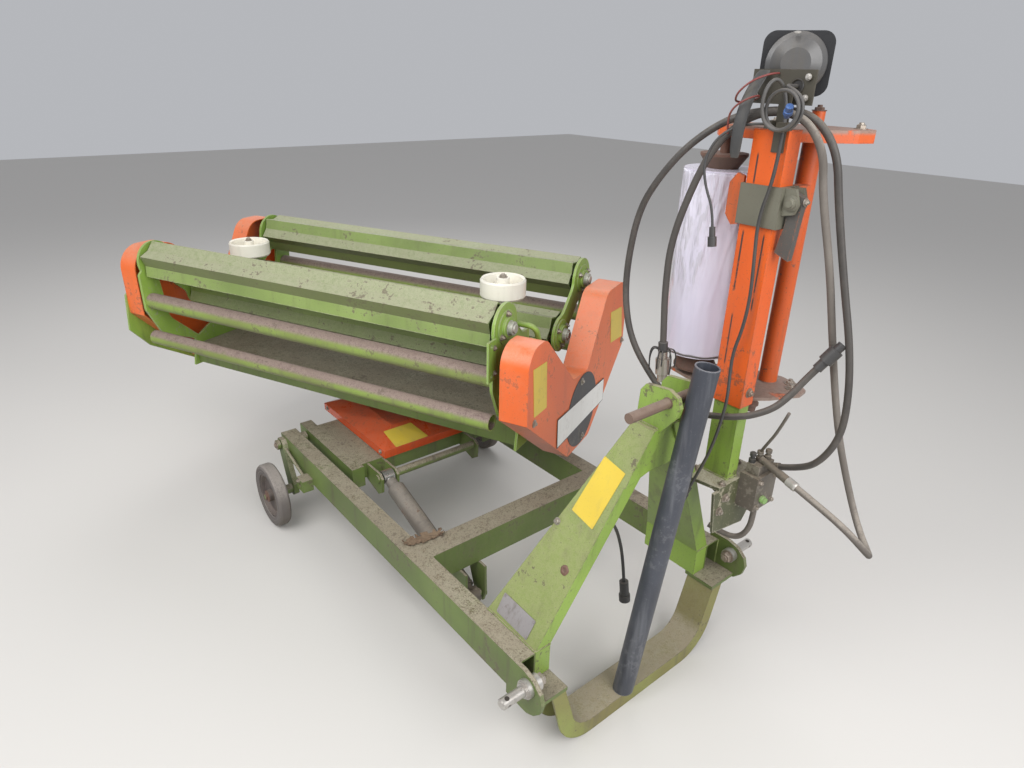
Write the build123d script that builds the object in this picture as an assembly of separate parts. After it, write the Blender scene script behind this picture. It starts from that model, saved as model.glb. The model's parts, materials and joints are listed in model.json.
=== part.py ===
from build123d import *
import math
import os
os.makedirs("parts", exist_ok=True)

# Round baler wrapper. Millimetres, +X forward to the hitch, +Y to the far side, +Z up, ground at z = 0.
# Driving dimensions of the three-point frame
BEAM_TOP = 325.0
BEAM_H = 100.0
BEAM_W = 60.0
BEAM_WALL = 5.0
FRAME_W = 820.0
REAR_X = -1010.0
FRONT_X = 470.0
CROSS_W = 80.0
HALF = FRAME_W / 2
INNER = HALF - BEAM_W
BEAM_BOT = BEAM_TOP - BEAM_H

# Hitch: two lower pins and the top link pin
PIN_X = 522.0
PIN_Z = 300.0
PIN_R = 14.0
PIN_IN = HALF + 19.0
PIN_OUT = HALF + 92.0
TOP_X = 546.0
TOP_Z = 962.0
TOP_R = 12.5
TOP_SHANK_R = 14.0
HEAD_TOP = 885.0
LEG_FOOT = (272.0, 469.0)
LEG_HEAD = (461.0, 531.0)
LEG_T = 50.0

# Skid: a bent channel under the hitch
SKID_X = (447.0, 540.0)
SKID_T = 45.0
SKID_WEB = 6.0
SKID_TOP = 225.0

# Mast and film unit
STUB_X = (510.0, 584.0)
STUB_Y = (199.0, 241.0)
POST_WALL = 5.0
SHELF_Z = 680.0
POST_BOT = 892.0
POST_TOP = 1545.0
ROLL = (362.0, 305.0)
ROLL_R = 92.0
CORE_R = 38.0
PLATE_LOW = 885.0
PLATE_HIGH = 1518.0
ROLL_Z = (PLATE_LOW + 75.0, PLATE_HIGH - 78.0)
UPRIGHT = (528.0, 412.0)
UPRIGHT_R = 24.0
CLAMP_Z = (1340.0, 1430.0)
STRETCH = ((470.0, 372.0), (490.0, 304.0))
STRETCH_R = 27.0
LAMP = (560.0, 250.0, 1655.0)
LAMP_TURN = 30.0

# Tilting bed
HINGE_X = -980.0
HINGE_Z = 292.0
HINGE_R = 12.0
BED_X = (-1041.0, -584.0)
BED_Y = (INNER - 80.0, INNER - 32.0)
BED_H = 60.0
EYE_X = -515.0
EYE_Z = 298.0
CYL_Y = -215.0
BASE_X = 10.0
BASE_Z = 110.0
BARREL_R = 28.0
ROD_R = 14.0
BARREL_LEN = 450.0
TABLE_X = -938.0
TABLE_Y = -37.0
SPINDLE_R = 40.0

# Turntable, in its own frame: a along the rollers, b across, turned by TABLE_TURN
TABLE_TURN = 24.3
AX_B = 312.0
AX_Z = 948.0
LOW_B = 130.0
LOW_Z = 785.0
ROLL_HALF = 752.0
ROLL_GAP = 13.0
PLATE_T = 10.0
END_A = ROLL_HALF + ROLL_GAP + PLATE_T
STAR_OUT = 80.0
STAR_IN = 60.0
SHAFT_R = 15.0
FIT = 0.05
COVER_FRONT = (END_A + 45.0, END_A + 138.0)
COVER_REAR = (-END_A - 105.0, -END_A - 22.0)
SHEET = 4.0
TUBE_UP = (360.0, 795.0, 31.0)
TUBE_LOW = (378.0, 650.0, 27.0)
SPINE_B = 200.0
SPINE_Z = (480.0, 560.0)

# Wheels
WHEEL_X = -911.0
WHEEL_R = 125.0
WHEEL_Y = (HALF + 70.0, HALF + 120.0)
AXLE_R = 10.0


def block(x0, x1, y0, y1, z0, z1):
    return Pos((x0 + x1) / 2, (y0 + y1) / 2, (z0 + z1) / 2) * Box(abs(x1 - x0), abs(y1 - y0), abs(z1 - z0))


def tube_box(x0, x1, y0, y1, z0, z1, wall, along):
    e = 10.0
    grow = {"X": (e, -wall, -wall), "Y": (-wall, e, -wall), "Z": (-wall, -wall, e)}[along]
    inner = block(x0 - grow[0], x1 + grow[0], y0 - grow[1], y1 + grow[1], z0 - grow[2], z1 + grow[2])
    return block(x0, x1, y0, y1, z0, z1) - inner


def rod(p, q, r):
    p = Vector(*p)
    q = Vector(*q)
    d = q - p
    return Plane(origin=(p + q) * 0.5, z_dir=d.normalized()) * Cylinder(r, d.length)


def pipe(p, q, r, wall):
    p = Vector(*p)
    q = Vector(*q)
    d = (q - p).normalized()
    return rod(p, q, r) - rod(p - d * 5, q + d * 5, r - wall)


def plate_xz(pts, y0, y1):
    pl = Plane(origin=(0, max(y0, y1), 0), x_dir=(1, 0, 0), z_dir=(0, -1, 0))
    return extrude(pl * make_face(Polyline(*pts, close=True)), amount=abs(y1 - y0))


def plate_yz(pts, x0, x1):
    pl = Plane(origin=(min(x0, x1), 0, 0), x_dir=(0, 1, 0), z_dir=(1, 0, 0))
    return extrude(pl * make_face(Polyline(*pts, close=True)), amount=abs(x1 - x0))


def plate_xy(pts, z0, z1):
    pl = Plane.XY.offset(min(z0, z1))
    return extrude(pl * make_face(Polyline(*pts, close=True)), amount=abs(z1 - z0))


def rounded_yz(corners, x0, x1, inset=0.0):
    # corners: (y, z, radius of the corner)
    line = FilletPolyline(*[(y, z) for y, z, r in corners], radius=[r for y, z, r in corners], close=True)
    face = make_face(line)
    if inset:
        face = offset(face, amount=-inset)
    pl = Plane(origin=(min(x0, x1), 0, 0), x_dir=(0, 1, 0), z_dir=(1, 0, 0))
    return extrude(pl * face, amount=abs(x1 - x0))


parts = {}
CORDS = []


def keep(name, shape):
    solids = shape.solids()
    assert len(solids) == 1, (name, len(solids))
    parts[name] = solids[0]
    return solids[0]


# Main frame: two side beams, the crossbeam, hitch brackets, toe plates and cylinder lugs
frame = tube_box(-CROSS_W, 0, -INNER - 2, INNER + 2, BEAM_BOT, BEAM_TOP, BEAM_WALL, "Y")
for s in (-1, 1):
    y0, y1 = sorted((s * INNER, s * HALF))
    beam = tube_box(REAR_X, FRONT_X, y0, y1, BEAM_BOT, BEAM_TOP, BEAM_WALL, "X")
    beam -= rod((HINGE_X, s * (INNER - 20), HINGE_Z), (HINGE_X, s * (HALF + 20), HINGE_Z), HINGE_R)
    toe_y0, toe_y1 = sorted((s * (INNER - 50), s * (HALF - 3)))
    toe = block(440, SKID_X[1], toe_y0, toe_y1, BEAM_BOT, BEAM_BOT + 12)
    nose_pts = [(440, 340), (505, 340), (540, 330), (565, 308), (574, 280), (566, 248), (545, 225), (520, 212), (440, 212)]
    b0, b1 = sorted((s * (HALF - 3), s * (HALF + 9)))
    bracket = plate_xz(nose_pts, b0, b1)
    bracket -= rod((PIN_X, s * (HALF - 30), PIN_Z), (PIN_X, s * (HALF + 30), PIN_Z), PIN_R)
    bolt = rod((HINGE_X, s * (BED_Y[0] - 12), HINGE_Z), (HINGE_X, s * (HALF + 32), HINGE_Z), HINGE_R)
    head = rod((HINGE_X, s * (HALF + 22), HINGE_Z), (HINGE_X, s * (HALF + 34), HINGE_Z), 20)
    washer = rod((HINGE_X, s * (BED_Y[1] + 4), HINGE_Z), (HINGE_X, s * INNER, HINGE_Z), 22)
    frame = frame + beam + toe + bracket + bolt + head + washer
for y in (CYL_Y - 41, CYL_Y + 33):
    frame += plate_xz([(-62, BEAM_BOT), (34, BEAM_BOT), (36, 120), (24, 84), (-4, 78), (-20, 100)], y, y + 8)
frame += rod((BASE_X, CYL_Y - 48, BASE_Z), (BASE_X, CYL_Y + 48, BASE_Z), 12)
frame += rod((BASE_X, CYL_Y - 48, BASE_Z), (BASE_X, CYL_Y - 41, BASE_Z), 19)
frame += rod((BASE_X, CYL_Y + 41, BASE_Z), (BASE_X, CYL_Y + 48, BASE_Z), 19)
keep("main_frame", frame)

# Headstock: two tapered box legs that lean together, the head and the top link lugs
def leg_solid(side, shrink, lift):
    low = []
    high = []
    for x, y in ((LEG_FOOT[0], INNER), (LEG_FOOT[1], INNER), (LEG_FOOT[1], INNER - LEG_T), (LEG_FOOT[0], INNER - LEG_T)):
        sx = shrink if x == LEG_FOOT[0] else -shrink
        sy = -shrink if y == INNER else shrink
        low.append((x + sx, side * (y + sy), BEAM_TOP - lift))
    for x, y in ((LEG_HEAD[0], 60), (LEG_HEAD[1], 60), (LEG_HEAD[1], 60 - LEG_T), (LEG_HEAD[0], 60 - LEG_T)):
        sx = shrink if x == LEG_HEAD[0] else -shrink
        sy = -shrink if y == 60 else shrink
        high.append((x + sx, side * (y + sy), HEAD_TOP - (8 if shrink else 0)))
    f0 = make_face(Polyline(*low, close=True))
    f1 = make_face(Polyline(*high, close=True))
    return loft([f0, f1])


legs = {}
foot_low = BEAM_BOT + 12
head_shape = None
for s in (-1, 1):
    y0, y1 = sorted((s * INNER, s * (INNER - LEG_T)))
    outer = leg_solid(s, 0, 0) + block(LEG_FOOT[0], LEG_FOOT[1], y0, y1, foot_low, BEAM_TOP)
    cavity = leg_solid(s, 5, 0) + block(LEG_FOOT[0] + 5, LEG_FOOT[1] - 5, y0 + 5, y1 - 5, foot_low - 5, BEAM_TOP)
    legs[s] = outer
    leg = outer - cavity
    head_shape = leg if head_shape is None else head_shape + leg
head_pts = [(-60, HEAD_TOP), (60, HEAD_TOP), (131, 748), (95, 757), (50, 768), (-50, 768), (-95, 757), (-131, 748)]
head_shape += plate_yz(head_pts, 512, 520)
head_shape += plate_yz(head_pts, 458, 466)
head_shape += block(458, 525, -58, 58, HEAD_TOP - 10, HEAD_TOP)
lug_pts = [(458, 872), (463, 966), (478, 986), (545, 994), (572, 982), (582, 958), (575, 932), (528, 872)]
for y in (-45, 33):
    head_shape += plate_xz(lug_pts, y, y + 12)
head_shape += rod((430, -162, 600), (430, -140, 600), 8)
head_shape -= rod((TOP_X, -60, TOP_Z), (TOP_X, 60, TOP_Z), TOP_SHANK_R)
keep("headstock", head_shape)

# Skid bow: a channel bent in one plane, web inside, flanges to the ground

def bow_face(inset):
    low_y = INNER - 58 - inset * 0.88
    pts_out = [(-INNER + inset, SKID_TOP), (-low_y, inset), (low_y, inset), (INNER - inset, SKID_TOP)]
    return FilletPolyline(*pts_out, radius=130 - inset)


def bow_solid(i_out, i_in, x0, x1):
    w_out = bow_face(i_out)
    w_in = bow_face(i_in)
    a0 = w_out @ 0
    a1 = w_out @ 1
    c0 = w_in @ 0
    c1 = w_in @ 1
    face = make_face([w_out.edges(), w_in.edges(), Line(a0, c0), Line(a1, c1)])
    pl = Plane(origin=(x0, 0, 0), x_dir=(0, 1, 0), z_dir=(1, 0, 0))
    return extrude(pl * face, amount=x1 - x0)


bow = bow_solid(0, SKID_T, SKID_X[0], SKID_X[1]) - bow_solid(-8, SKID_T - SKID_WEB, SKID_X[0] + SKID_WEB, SKID_X[1] - SKID_WEB)
keep("skid", bow)

# Lower link pins with their collars and back nuts, and the top link pin
for name, s in (("near", -1), ("far", 1)):
    pin = rod((PIN_X, s * (HALF - 22), PIN_Z), (PIN_X, s * PIN_OUT, PIN_Z), PIN_R)
    pin += rod((PIN_X, s * (HALF + 9), PIN_Z), (PIN_X, s * PIN_IN, PIN_Z), 25)
    pin += rod((PIN_X, s * (HALF - 22), PIN_Z), (PIN_X, s * (HALF - 3), PIN_Z), 22)
    hole_y = s * (PIN_OUT - 16)
    pin -= rod((PIN_X - 20, hole_y, PIN_Z + 6), (PIN_X + 20, hole_y, PIN_Z - 6), 5.5)
    pin = chamfer(pin.edges().filter_by(GeomType.CIRCLE).group_by(Axis.Y)[0 if s < 0 else -1], 3)
    keep("lower_pin_" + name, pin)
top_pin = rod((TOP_X, -178, TOP_Z), (TOP_X, -46, TOP_Z), TOP_R)
top_pin += rod((TOP_X, -47, TOP_Z), (TOP_X, 92, TOP_Z), TOP_SHANK_R)
top_pin += rod((TOP_X, 45, TOP_Z), (TOP_X, 53, TOP_Z), 19)
keep("top_link_pin", top_pin)

# Loose steel tube that stands on the skid and leans by the top link pin
keep("stand_tube", pipe((520.5, -53.4, 20), (601.5, 7.6, 1058), 29, 3.5) - block(400, 700, -200, 100, -20, SKID_T))

# Mast foot: shelf, side web and valve plate on the far leg
shelf = plate_xy([(490, 132), (598, 150), (598, 322), (490, 322)], SHELF_Z - 10, SHELF_Z)
shelf += plate_yz([(128, SHELF_Z - 10), (318, SHELF_Z - 10), (318, 565), (286, 520), (150, 540)], 590, 598)
shelf += plate_xz([(495, SHELF_Z - 10), (590, SHELF_Z - 10), (590, 600), (500, 640)], 212, 220)
shelf -= legs[1]
keep("mast_bracket", shelf)

# Valve block on the web plate, with a valve body on top and two hose fittings
VALVE_X = 598.0


def hose_path(points):
    # each corner gets an arc as large as its two runs allow
    vecs = [Vector(*p) for p in points]
    radii = []
    for i in range(1, len(vecs) - 1):
        turn = (vecs[i] - vecs[i - 1]).get_angle(vecs[i + 1] - vecs[i])
        short = min((vecs[i] - vecs[i - 1]).length, (vecs[i + 1] - vecs[i]).length)
        radii.append(0.45 * short / math.tan(math.radians(turn / 2)))
    return FilletPolyline(*points, radius=radii), radii


def fitting(points, end, steps):
    # turned steps in line with the hose's first or last run: (start, end, radius), away from the hose
    tip, back = (points[0], points[1]) if end == 0 else (points[-1], points[-2])
    tip = Vector(*tip)
    out = (tip - Vector(*back)).normalized()
    body = None
    for s0, s1, r in steps:
        p, q = tip + out * s0, tip + out * s1
        piece = rod((p.X, p.Y, p.Z), (q.X, q.Y, q.Z), r)
        body = piece if body is None else body + piece
    return body


HOSE_R = 8.5
ROUTE_1 = [
    (717, 258, 722), (805, 240, 708), (894, 218, 694), (941, 258, 633), (917, 345, 572), (856, 400, 596), (806, 405, 690),
    (765, 380, 821), (744, 345, 948), (720, 310, 1104), (700, 272, 1260), (664, 238, 1425), (657, 222, 1513), (600, 213, 1580),
    (498, 204, 1580), (442, 158, 1516), (420, 124, 1436), (373, 120, 1284), (373, 120, 1159), (382, 120, 1070), (388, 120, 1012)]
ROUTE_2 = [
    (668, 300, 724), (722, 300, 746), (766, 300, 786), (798, 305, 869), (792, 305, 978), (769, 300, 1096), (730, 290, 1230),
    (690, 268, 1400), (672, 250, 1512), (612, 238, 1579), (522, 233, 1584), (440, 202, 1566), (372, 150, 1506), (315, 122, 1425),
    (264, 120, 1339), (243, 120, 1208), (246, 120, 1101), (280, 120, 998), (358, 128, 912), (440, 140, 845), (592, 165, 875),
    (662, 205, 913), (688, 235, 955), (704, 255, 995), (721, 270, 1028)]
ROUTE_MAST = [
    (584, 176, POST_TOP + 1), (584, 176, 1455), (562, 174, 1362), (570, 174, 1268), (577, 173, 1179), (572, 171, 1104),
    (558, 170, 1040), (562, 166, 985), (575, 152, 925), (574, 139, 857), (565, 130, 785), (545, 124, 715), (524, 124, 655)]
ROUTE_WIRE = [(544, 178, 1556), (502, 178, 1556), (460, 134, 1534), (438, 118, 1475), (452, 118, 1420), (478, 120, 1375), (484, 120, 1335)]
ROUTE_TAPE = [(430, -140, 600), (430, -92, 600), (432, -52, 560), (430, -20, 490), (436, -6, 420), (442, 0, 350)]
CORD_TABLE = (
    # node, route, radius, node at the far end, its turned steps
    ("hose_1", ROUTE_1, HOSE_R, "coupler_1", ((0, 34, 12), (30, 72, 18), (68, 92, 13))),
    ("hose_2", ROUTE_2, HOSE_R, "coupler_2", ((0, 28, 12), (24, 60, 17), (56, 78, 11))),
    ("cable_mast", ROUTE_MAST, 4.0, "plug_mast", ((0, 30, 7), (26, 42, 9))),
    ("cable_wire", ROUTE_WIRE, 3.0, "plug_wire", ((0, 26, 7), (22, 44, 10))),
    ("cable_tape", ROUTE_TAPE, 4.5, "plug_tape", ((0, 50, 13), (46, 66, 16))),
)
valve = block(VALVE_X, VALVE_X + 54, 235, 325, 600, 700)
valve += block(VALVE_X + 8, VALVE_X + 44, 246, 316, 700, 728)
valve += fitting(ROUTE_1, 0, ((0, 30, 11), (26, 92, 9)))
valve += fitting(ROUTE_2, 0, ((0, 22, 11), (18, 40, 9)))
keep("valve_block", valve)
for cord, route, r, far_node, steps in CORD_TABLE:
    path, radii = hose_path(route)
    cord_solid = sweep(Plane(origin=path @ 0, z_dir=path % 0) * Circle(r), path=path)
    print(cord, "length %.0f" % path.length, "section x length %.0f" % (math.pi * r * r * path.length))
    print(cord, "radii", " ".join("%.0f" % v for v in radii))
    keep(cord, cord_solid)
    keep(far_node, fitting(route, -1, steps))
    CORDS.extend((cord, far_node))
stub = tube_box(STUB_X[0], STUB_X[1], STUB_Y[0], STUB_Y[1], SHELF_Z, 1010, 4, "Z")
keep("mast_stub", stub)
px0, px1 = STUB_X[0] - POST_WALL, STUB_X[1] + POST_WALL
py0, py1 = STUB_Y[0] - POST_WALL, STUB_Y[1] + POST_WALL
post = tube_box(px0, px1, py0, py1, POST_BOT, POST_TOP, POST_WALL, "Z")
keep("mast_post", post)

# Work lamp on the mast's head: a bracket plate, a domed shell and a square rim
lx, ly, lz = LAMP
lamp_plate = block(lx - 92, lx + 54, ly - 34, ly - 30, lz - 60, lz + 8)
for dx, dz in ((-76, -46), (40, -46), (-76, -6), (40, -6)):
    lamp_plate += rod((lx + dx, ly - 39, lz + dz), (lx + dx, ly - 30, lz + dz), 6)
lamp_plate -= rod((lx + 16, ly - 50, lz - 24), (lx + 16, ly - 20, lz - 24), 12)
lamp_plate += block(px1 - 34, px1 - 6, py0 - 4, py0, POST_TOP - 45, lz - 40)
lamp_plate += block(px1 - 34, px1 - 6, py0 - 4, ly - 30, lz - 44, lz - 36)
lamp_plate += block(px1 - 17, px1 + 5, py0 - 28, py0, POST_TOP + 1, POST_TOP + 17)
lamp_plate += block(px1 - 45, px1 - 32, py0 - 28, py0 - 2, POST_TOP + 3, POST_TOP + 19)
keep("lamp_bracket", lamp_plate)
bowl_out = [(0, 0), (30, 0), (52, 14), (62, 34), (64, 58), (0, 58)]
bowl_in = [(0, 3), (29, 3), (49, 16), (59, 35), (61, 70), (0, 70)]
lamp = revolve(make_face(Polyline(*bowl_out, close=True)), Axis.Y) - revolve(make_face(Polyline(*bowl_in, close=True)), Axis.Y)
rim_plane = Plane(origin=(0, 58, 0), x_dir=(1, 0, 0), z_dir=(0, 1, 0))
rim_out = fillet(Rectangle(146, 130).vertices(), 26)
rim_in = fillet(Rectangle(134, 118).vertices(), 20)
lamp += extrude(rim_plane * rim_out, amount=40) - extrude(rim_plane.offset(4) * rim_in, amount=40)
lamp -= rod((0, 50, 0), (0, 70, 0), 58)
lamp = Location((lx - 13, ly - 8, lz + 20), (0, 0, LAMP_TURN)) * lamp
lamp += rod((lx - 13, ly - 30, lz - 2), (lx - 13, ly - 6, lz - 2), 11)
keep("work_lamp", lamp)

# Film unit: sliding clamp, carrier with two plates and an upright, roll, cones and stretch rollers
g = 0.6
clamp = block(px0 - 8, px1 + 12, py0 - 8, py1 + 8, CLAMP_Z[0], CLAMP_Z[1])
clamp -= block(px0 - g, px1 + g, py0 - g, py1 + g, CLAMP_Z[0] - 5, CLAMP_Z[1] + 5)
ear = [(px1 + 12, CLAMP_Z[0] + 30), (px1 + 40, CLAMP_Z[0] + 36), (px1 + 48, CLAMP_Z[0] + 58), (px1 + 36, CLAMP_Z[1]), (px1 + 12, CLAMP_Z[1])]
clamp += plate_xz(ear, py0 + 4, py0 + 14)
clamp += plate_xz(ear, py0 + 36, py0 + 46)
clamp += rod((px1 + 32, py0 - 2, CLAMP_Z[0] + 60), (px1 + 32, py0 + 52, CLAMP_Z[0] + 60), 8)
keep("mast_clamp", clamp)
lever_pts = [(px1 + 51, CLAMP_Z[1] - 18), (px1 + 23, CLAMP_Z[1] - 6), (px1 + 17, CLAMP_Z[0] + 5), (px1 + 5, CLAMP_Z[0] - 54), (px1 + 41, CLAMP_Z[0] - 68)]
lever = plate_xz(lever_pts, py0 + 16, py0 + 34)
lever -= rod((px1 + 32, py0, CLAMP_Z[0] + 60), (px1 + 32, py0 + 50, CLAMP_Z[0] + 60), 8 + FIT)
keep("clamp_lever", lever)
carrier_pts = [(556, 253), (599, 313), (636, 394), (630, 432), (606, 452), (538, 466), (440, 440), (318, 352), (310, 270), (380, 253)]
top_pts = [(556, 253), (606, 296), (655, 368), (670, 410), (655, 440), (606, 454), (538, 466), (440, 440), (330, 350), (336, 300), (372, 256)]
carrier = plate_xy(carrier_pts, PLATE_LOW, PLATE_LOW + 8)
carrier += plate_xy(top_pts, PLATE_HIGH + 19, PLATE_HIGH + 27)
top_rim = plate_xy(top_pts, PLATE_HIGH, PLATE_HIGH + 19)
top_rim -= plate_xy([(x * 0.955 + 22, y * 0.955 + 16) for x, y in top_pts], PLATE_HIGH - 2, PLATE_HIGH + 19)
carrier += top_rim
ux, uy = UPRIGHT
upright = Pos(ux, uy, (PLATE_LOW + PLATE_HIGH + 27) / 2) * (Cylinder(UPRIGHT_R, PLATE_HIGH - PLATE_LOW + 11) - Cylinder(UPRIGHT_R - 4, PLATE_HIGH - PLATE_LOW + 11))
carrier += upright
carrier += block(px0 - 34, px1 + 8, py1 + 8, py1 + 16, CLAMP_Z[0] + 6, CLAMP_Z[1] - 6)
side_pts = [(px0 - 8, CLAMP_Z[0] - 4), (px0 - 26, CLAMP_Z[0] - 8), (px0 - 44, CLAMP_Z[0] + 14), (px0 - 44, CLAMP_Z[1] - 4)]
side_pts += [(px0 - 26, CLAMP_Z[1] + 19), (px0 - 8, CLAMP_Z[1] + 14)]
carrier += plate_xz(side_pts, py0 + 2, py0 + 10)
carrier += block(px0 - 34, px0 - 8, py0 + 2, py1 + 16, CLAMP_Z[0] + 6, CLAMP_Z[1] - 6)
carrier += block(ux - 2, ux + 26, py1 + 16, uy - 20, CLAMP_Z[0] + 10, CLAMP_Z[1] - 14)
carrier += Pos(ux, uy, PLATE_HIGH + 27 + 17) * (Cylinder(15, 34) - Cylinder(10, 40))
rx, ry = ROLL
for z in (PLATE_LOW - 4, PLATE_HIGH + 15):
    carrier -= Pos(rx, ry, z + 8) * Cylinder(12 + FIT, 24)
    for qx, qy in STRETCH:
        carrier -= Pos(qx, qy, z + 8) * Cylinder(8 + FIT, 24)
keep("film_carrier", carrier)
film = Pos(rx, ry, (ROLL_Z[0] + ROLL_Z[1]) / 2) * (Cylinder(ROLL_R, ROLL_Z[1] - ROLL_Z[0]) - Cylinder(CORE_R, ROLL_Z[1] - ROLL_Z[0]))
keep("film_roll", film)


GAP = 0.3


def cone_set(z0, z1, z2, z3):
    up = 1 if z1 > z0 else -1
    pts = [(0, z0), (12, z0), (12, z1), (58, z1), (58, z1 + 6 * up), (CORE_R - GAP, z2), (CORE_R - 8, z3), (0, z3)]
    prof = Plane.XZ * make_face(Polyline(*pts, close=True))
    return Pos(rx, ry, 0) * revolve(prof, Axis.Z)


keep("roll_cone_low", cone_set(PLATE_LOW - 6, PLATE_LOW + 22, ROLL_Z[0] - GAP, ROLL_Z[0] + 30))
keep("roll_cone_high", cone_set(PLATE_HIGH + 36, ROLL_Z[1] + 36, ROLL_Z[1] + GAP, ROLL_Z[1] - 30))
for i, (qx, qy) in enumerate(STRETCH):
    body = rod((qx, qy, PLATE_LOW + 20), (qx, qy, PLATE_HIGH - 8), STRETCH_R)
    body -= rod((qx, qy, PLATE_LOW), (qx, qy, PLATE_HIGH + 4), STRETCH_R - 4)
    for z in (PLATE_LOW + 20, PLATE_HIGH - 18):
        body += Pos(qx, qy, z + 5) * Cylinder(STRETCH_R - 2, 10)
    body += rod((qx, qy, PLATE_LOW - 4), (qx, qy, PLATE_HIGH + 27), 8)
    keep("stretch_roller_" + "ab"[i], body)

# Tilting bed with its deck, spindle, cylinder lugs and cross shaft
bed = block(BED_X[0] + 60, BED_X[1] - 16, -BED_Y[0] - 2, BED_Y[0] + 2, BEAM_TOP - 8, BEAM_TOP)
for s in (-1, 1):
    y0, y1 = sorted((s * BED_Y[0], s * BED_Y[1]))
    side = tube_box(BED_X[0], BED_X[1], y0, y1, BEAM_TOP - BED_H, BEAM_TOP, 4, "X")
    side += block(BED_X[1] - 4, BED_X[1] + 2, y0, y1, BEAM_TOP - BED_H - 20, BEAM_TOP)
    bed += side
bed += tube_box(-1010 + 60, -900, -BED_Y[0] - 2, BED_Y[0] + 2, BEAM_TOP - 50, BEAM_TOP - 4, 4, "Y")
bed += tube_box(BED_X[1] - 66, BED_X[1] - 16, -BED_Y[0] - 2, BED_Y[0] + 2, BEAM_TOP - BED_H, BEAM_TOP - 4, 4, "Y")
lug = [(-620, 322), (-505, 322), (-487, 306), (-492, 250), (-520, 232), (-620, 262)]
for y in (CYL_Y - 36, CYL_Y + 27, 170):
    bed += plate_xz(lug, y, y + 9)
bed += rod((EYE_X, CYL_Y + 30, EYE_Z), (EYE_X, 176, EYE_Z), 15)
bed += rod((EYE_X, CYL_Y - 42, EYE_Z), (EYE_X, CYL_Y - 34, EYE_Z), 16)
bed += Pos(TABLE_X, TABLE_Y, (BEAM_TOP - 6 + 466) / 2) * Cylinder(SPINDLE_R, 466 - BEAM_TOP + 6)
for s in (-1, 1):
    bed -= rod((HINGE_X, s * (BED_Y[0] - 20), HINGE_Z), (HINGE_X, s * (BED_Y[1] + 22), HINGE_Z), HINGE_R + FIT)
keep("tilting_bed", bed)

# Orange centre cover: a skirt and a shallow pyramid, open below, with a hole for the hub
COVER_X = (-1090.0, -578.0)
COVER_Y = 186.0


def cover_solid(inset, z0, z1, z2):
    r0 = Rectangle(COVER_X[1] - COVER_X[0] - 2 * inset, 2 * COVER_Y - 2 * inset)
    r1 = Rectangle(COVER_X[1] - COVER_X[0] - 2 * inset - 200, 2 * COVER_Y - 2 * inset - 180)
    cx = (COVER_X[0] + COVER_X[1]) / 2
    skirt = Pos(cx, 0, z0) * extrude(r0, amount=z1 - z0)
    roof = loft([Pos(cx, 0, z1) * r0, Pos(cx, 0, z2) * r1])
    return skirt + roof


cover = cover_solid(0, BEAM_TOP + 4, BEAM_TOP + 34, BEAM_TOP + 76) - cover_solid(3, BEAM_TOP, BEAM_TOP + 33, BEAM_TOP + 73)
cover -= Pos(TABLE_X, TABLE_Y, BEAM_TOP + 60) * Cylinder(SPINDLE_R + 4, 100)
for x in (COVER_X[0] + 30, COVER_X[1] - 32):
    cover += block(x - 12, x + 12, -COVER_Y + 3, -COVER_Y + 18, BEAM_TOP, BEAM_TOP + 6)
    cover += block(x - 12, x + 12, COVER_Y - 18, COVER_Y - 3, BEAM_TOP, BEAM_TOP + 6)
cover -= block(COVER_X[0] - 10, HINGE_X - 1, -COVER_Y - 14, COVER_Y + 14, BEAM_TOP - 20, BEAM_TOP + 3.9)
keep("centre_cover", cover)

# Tilt cylinder, from the lugs under the crossbeam to the bed's cross shaft
base = Vector(BASE_X, CYL_Y, BASE_Z)
eye = Vector(EYE_X, CYL_Y, EYE_Z)
along = (eye - base).normalized()
stroke_len = (eye - base).length


def at(s):
    v = base + along * s
    return (v.X, v.Y, v.Z)


barrel = rod(at(34), at(BARREL_LEN), BARREL_R) - rod(at(50), at(BARREL_LEN - 18), BARREL_R - 5)
barrel -= rod(at(BARREL_LEN - 20), at(BARREL_LEN + 5), ROD_R + FIT)
barrel += rod((BASE_X, CYL_Y - 20, BASE_Z), (BASE_X, CYL_Y + 20, BASE_Z), 26)
barrel += rod(at(12), at(40), 20)
barrel -= rod((BASE_X, CYL_Y - 30, BASE_Z), (BASE_X, CYL_Y + 30, BASE_Z), 12 + FIT)
keep("cylinder_barrel", barrel)
ram = rod(at(110), at(stroke_len - 10), ROD_R) + rod(at(96), at(112), BARREL_R - 6)
ram += rod((EYE_X, CYL_Y - 21, EYE_Z), (EYE_X, CYL_Y + 21, EYE_Z), 24)
keep("cylinder_rod", ram)

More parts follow.
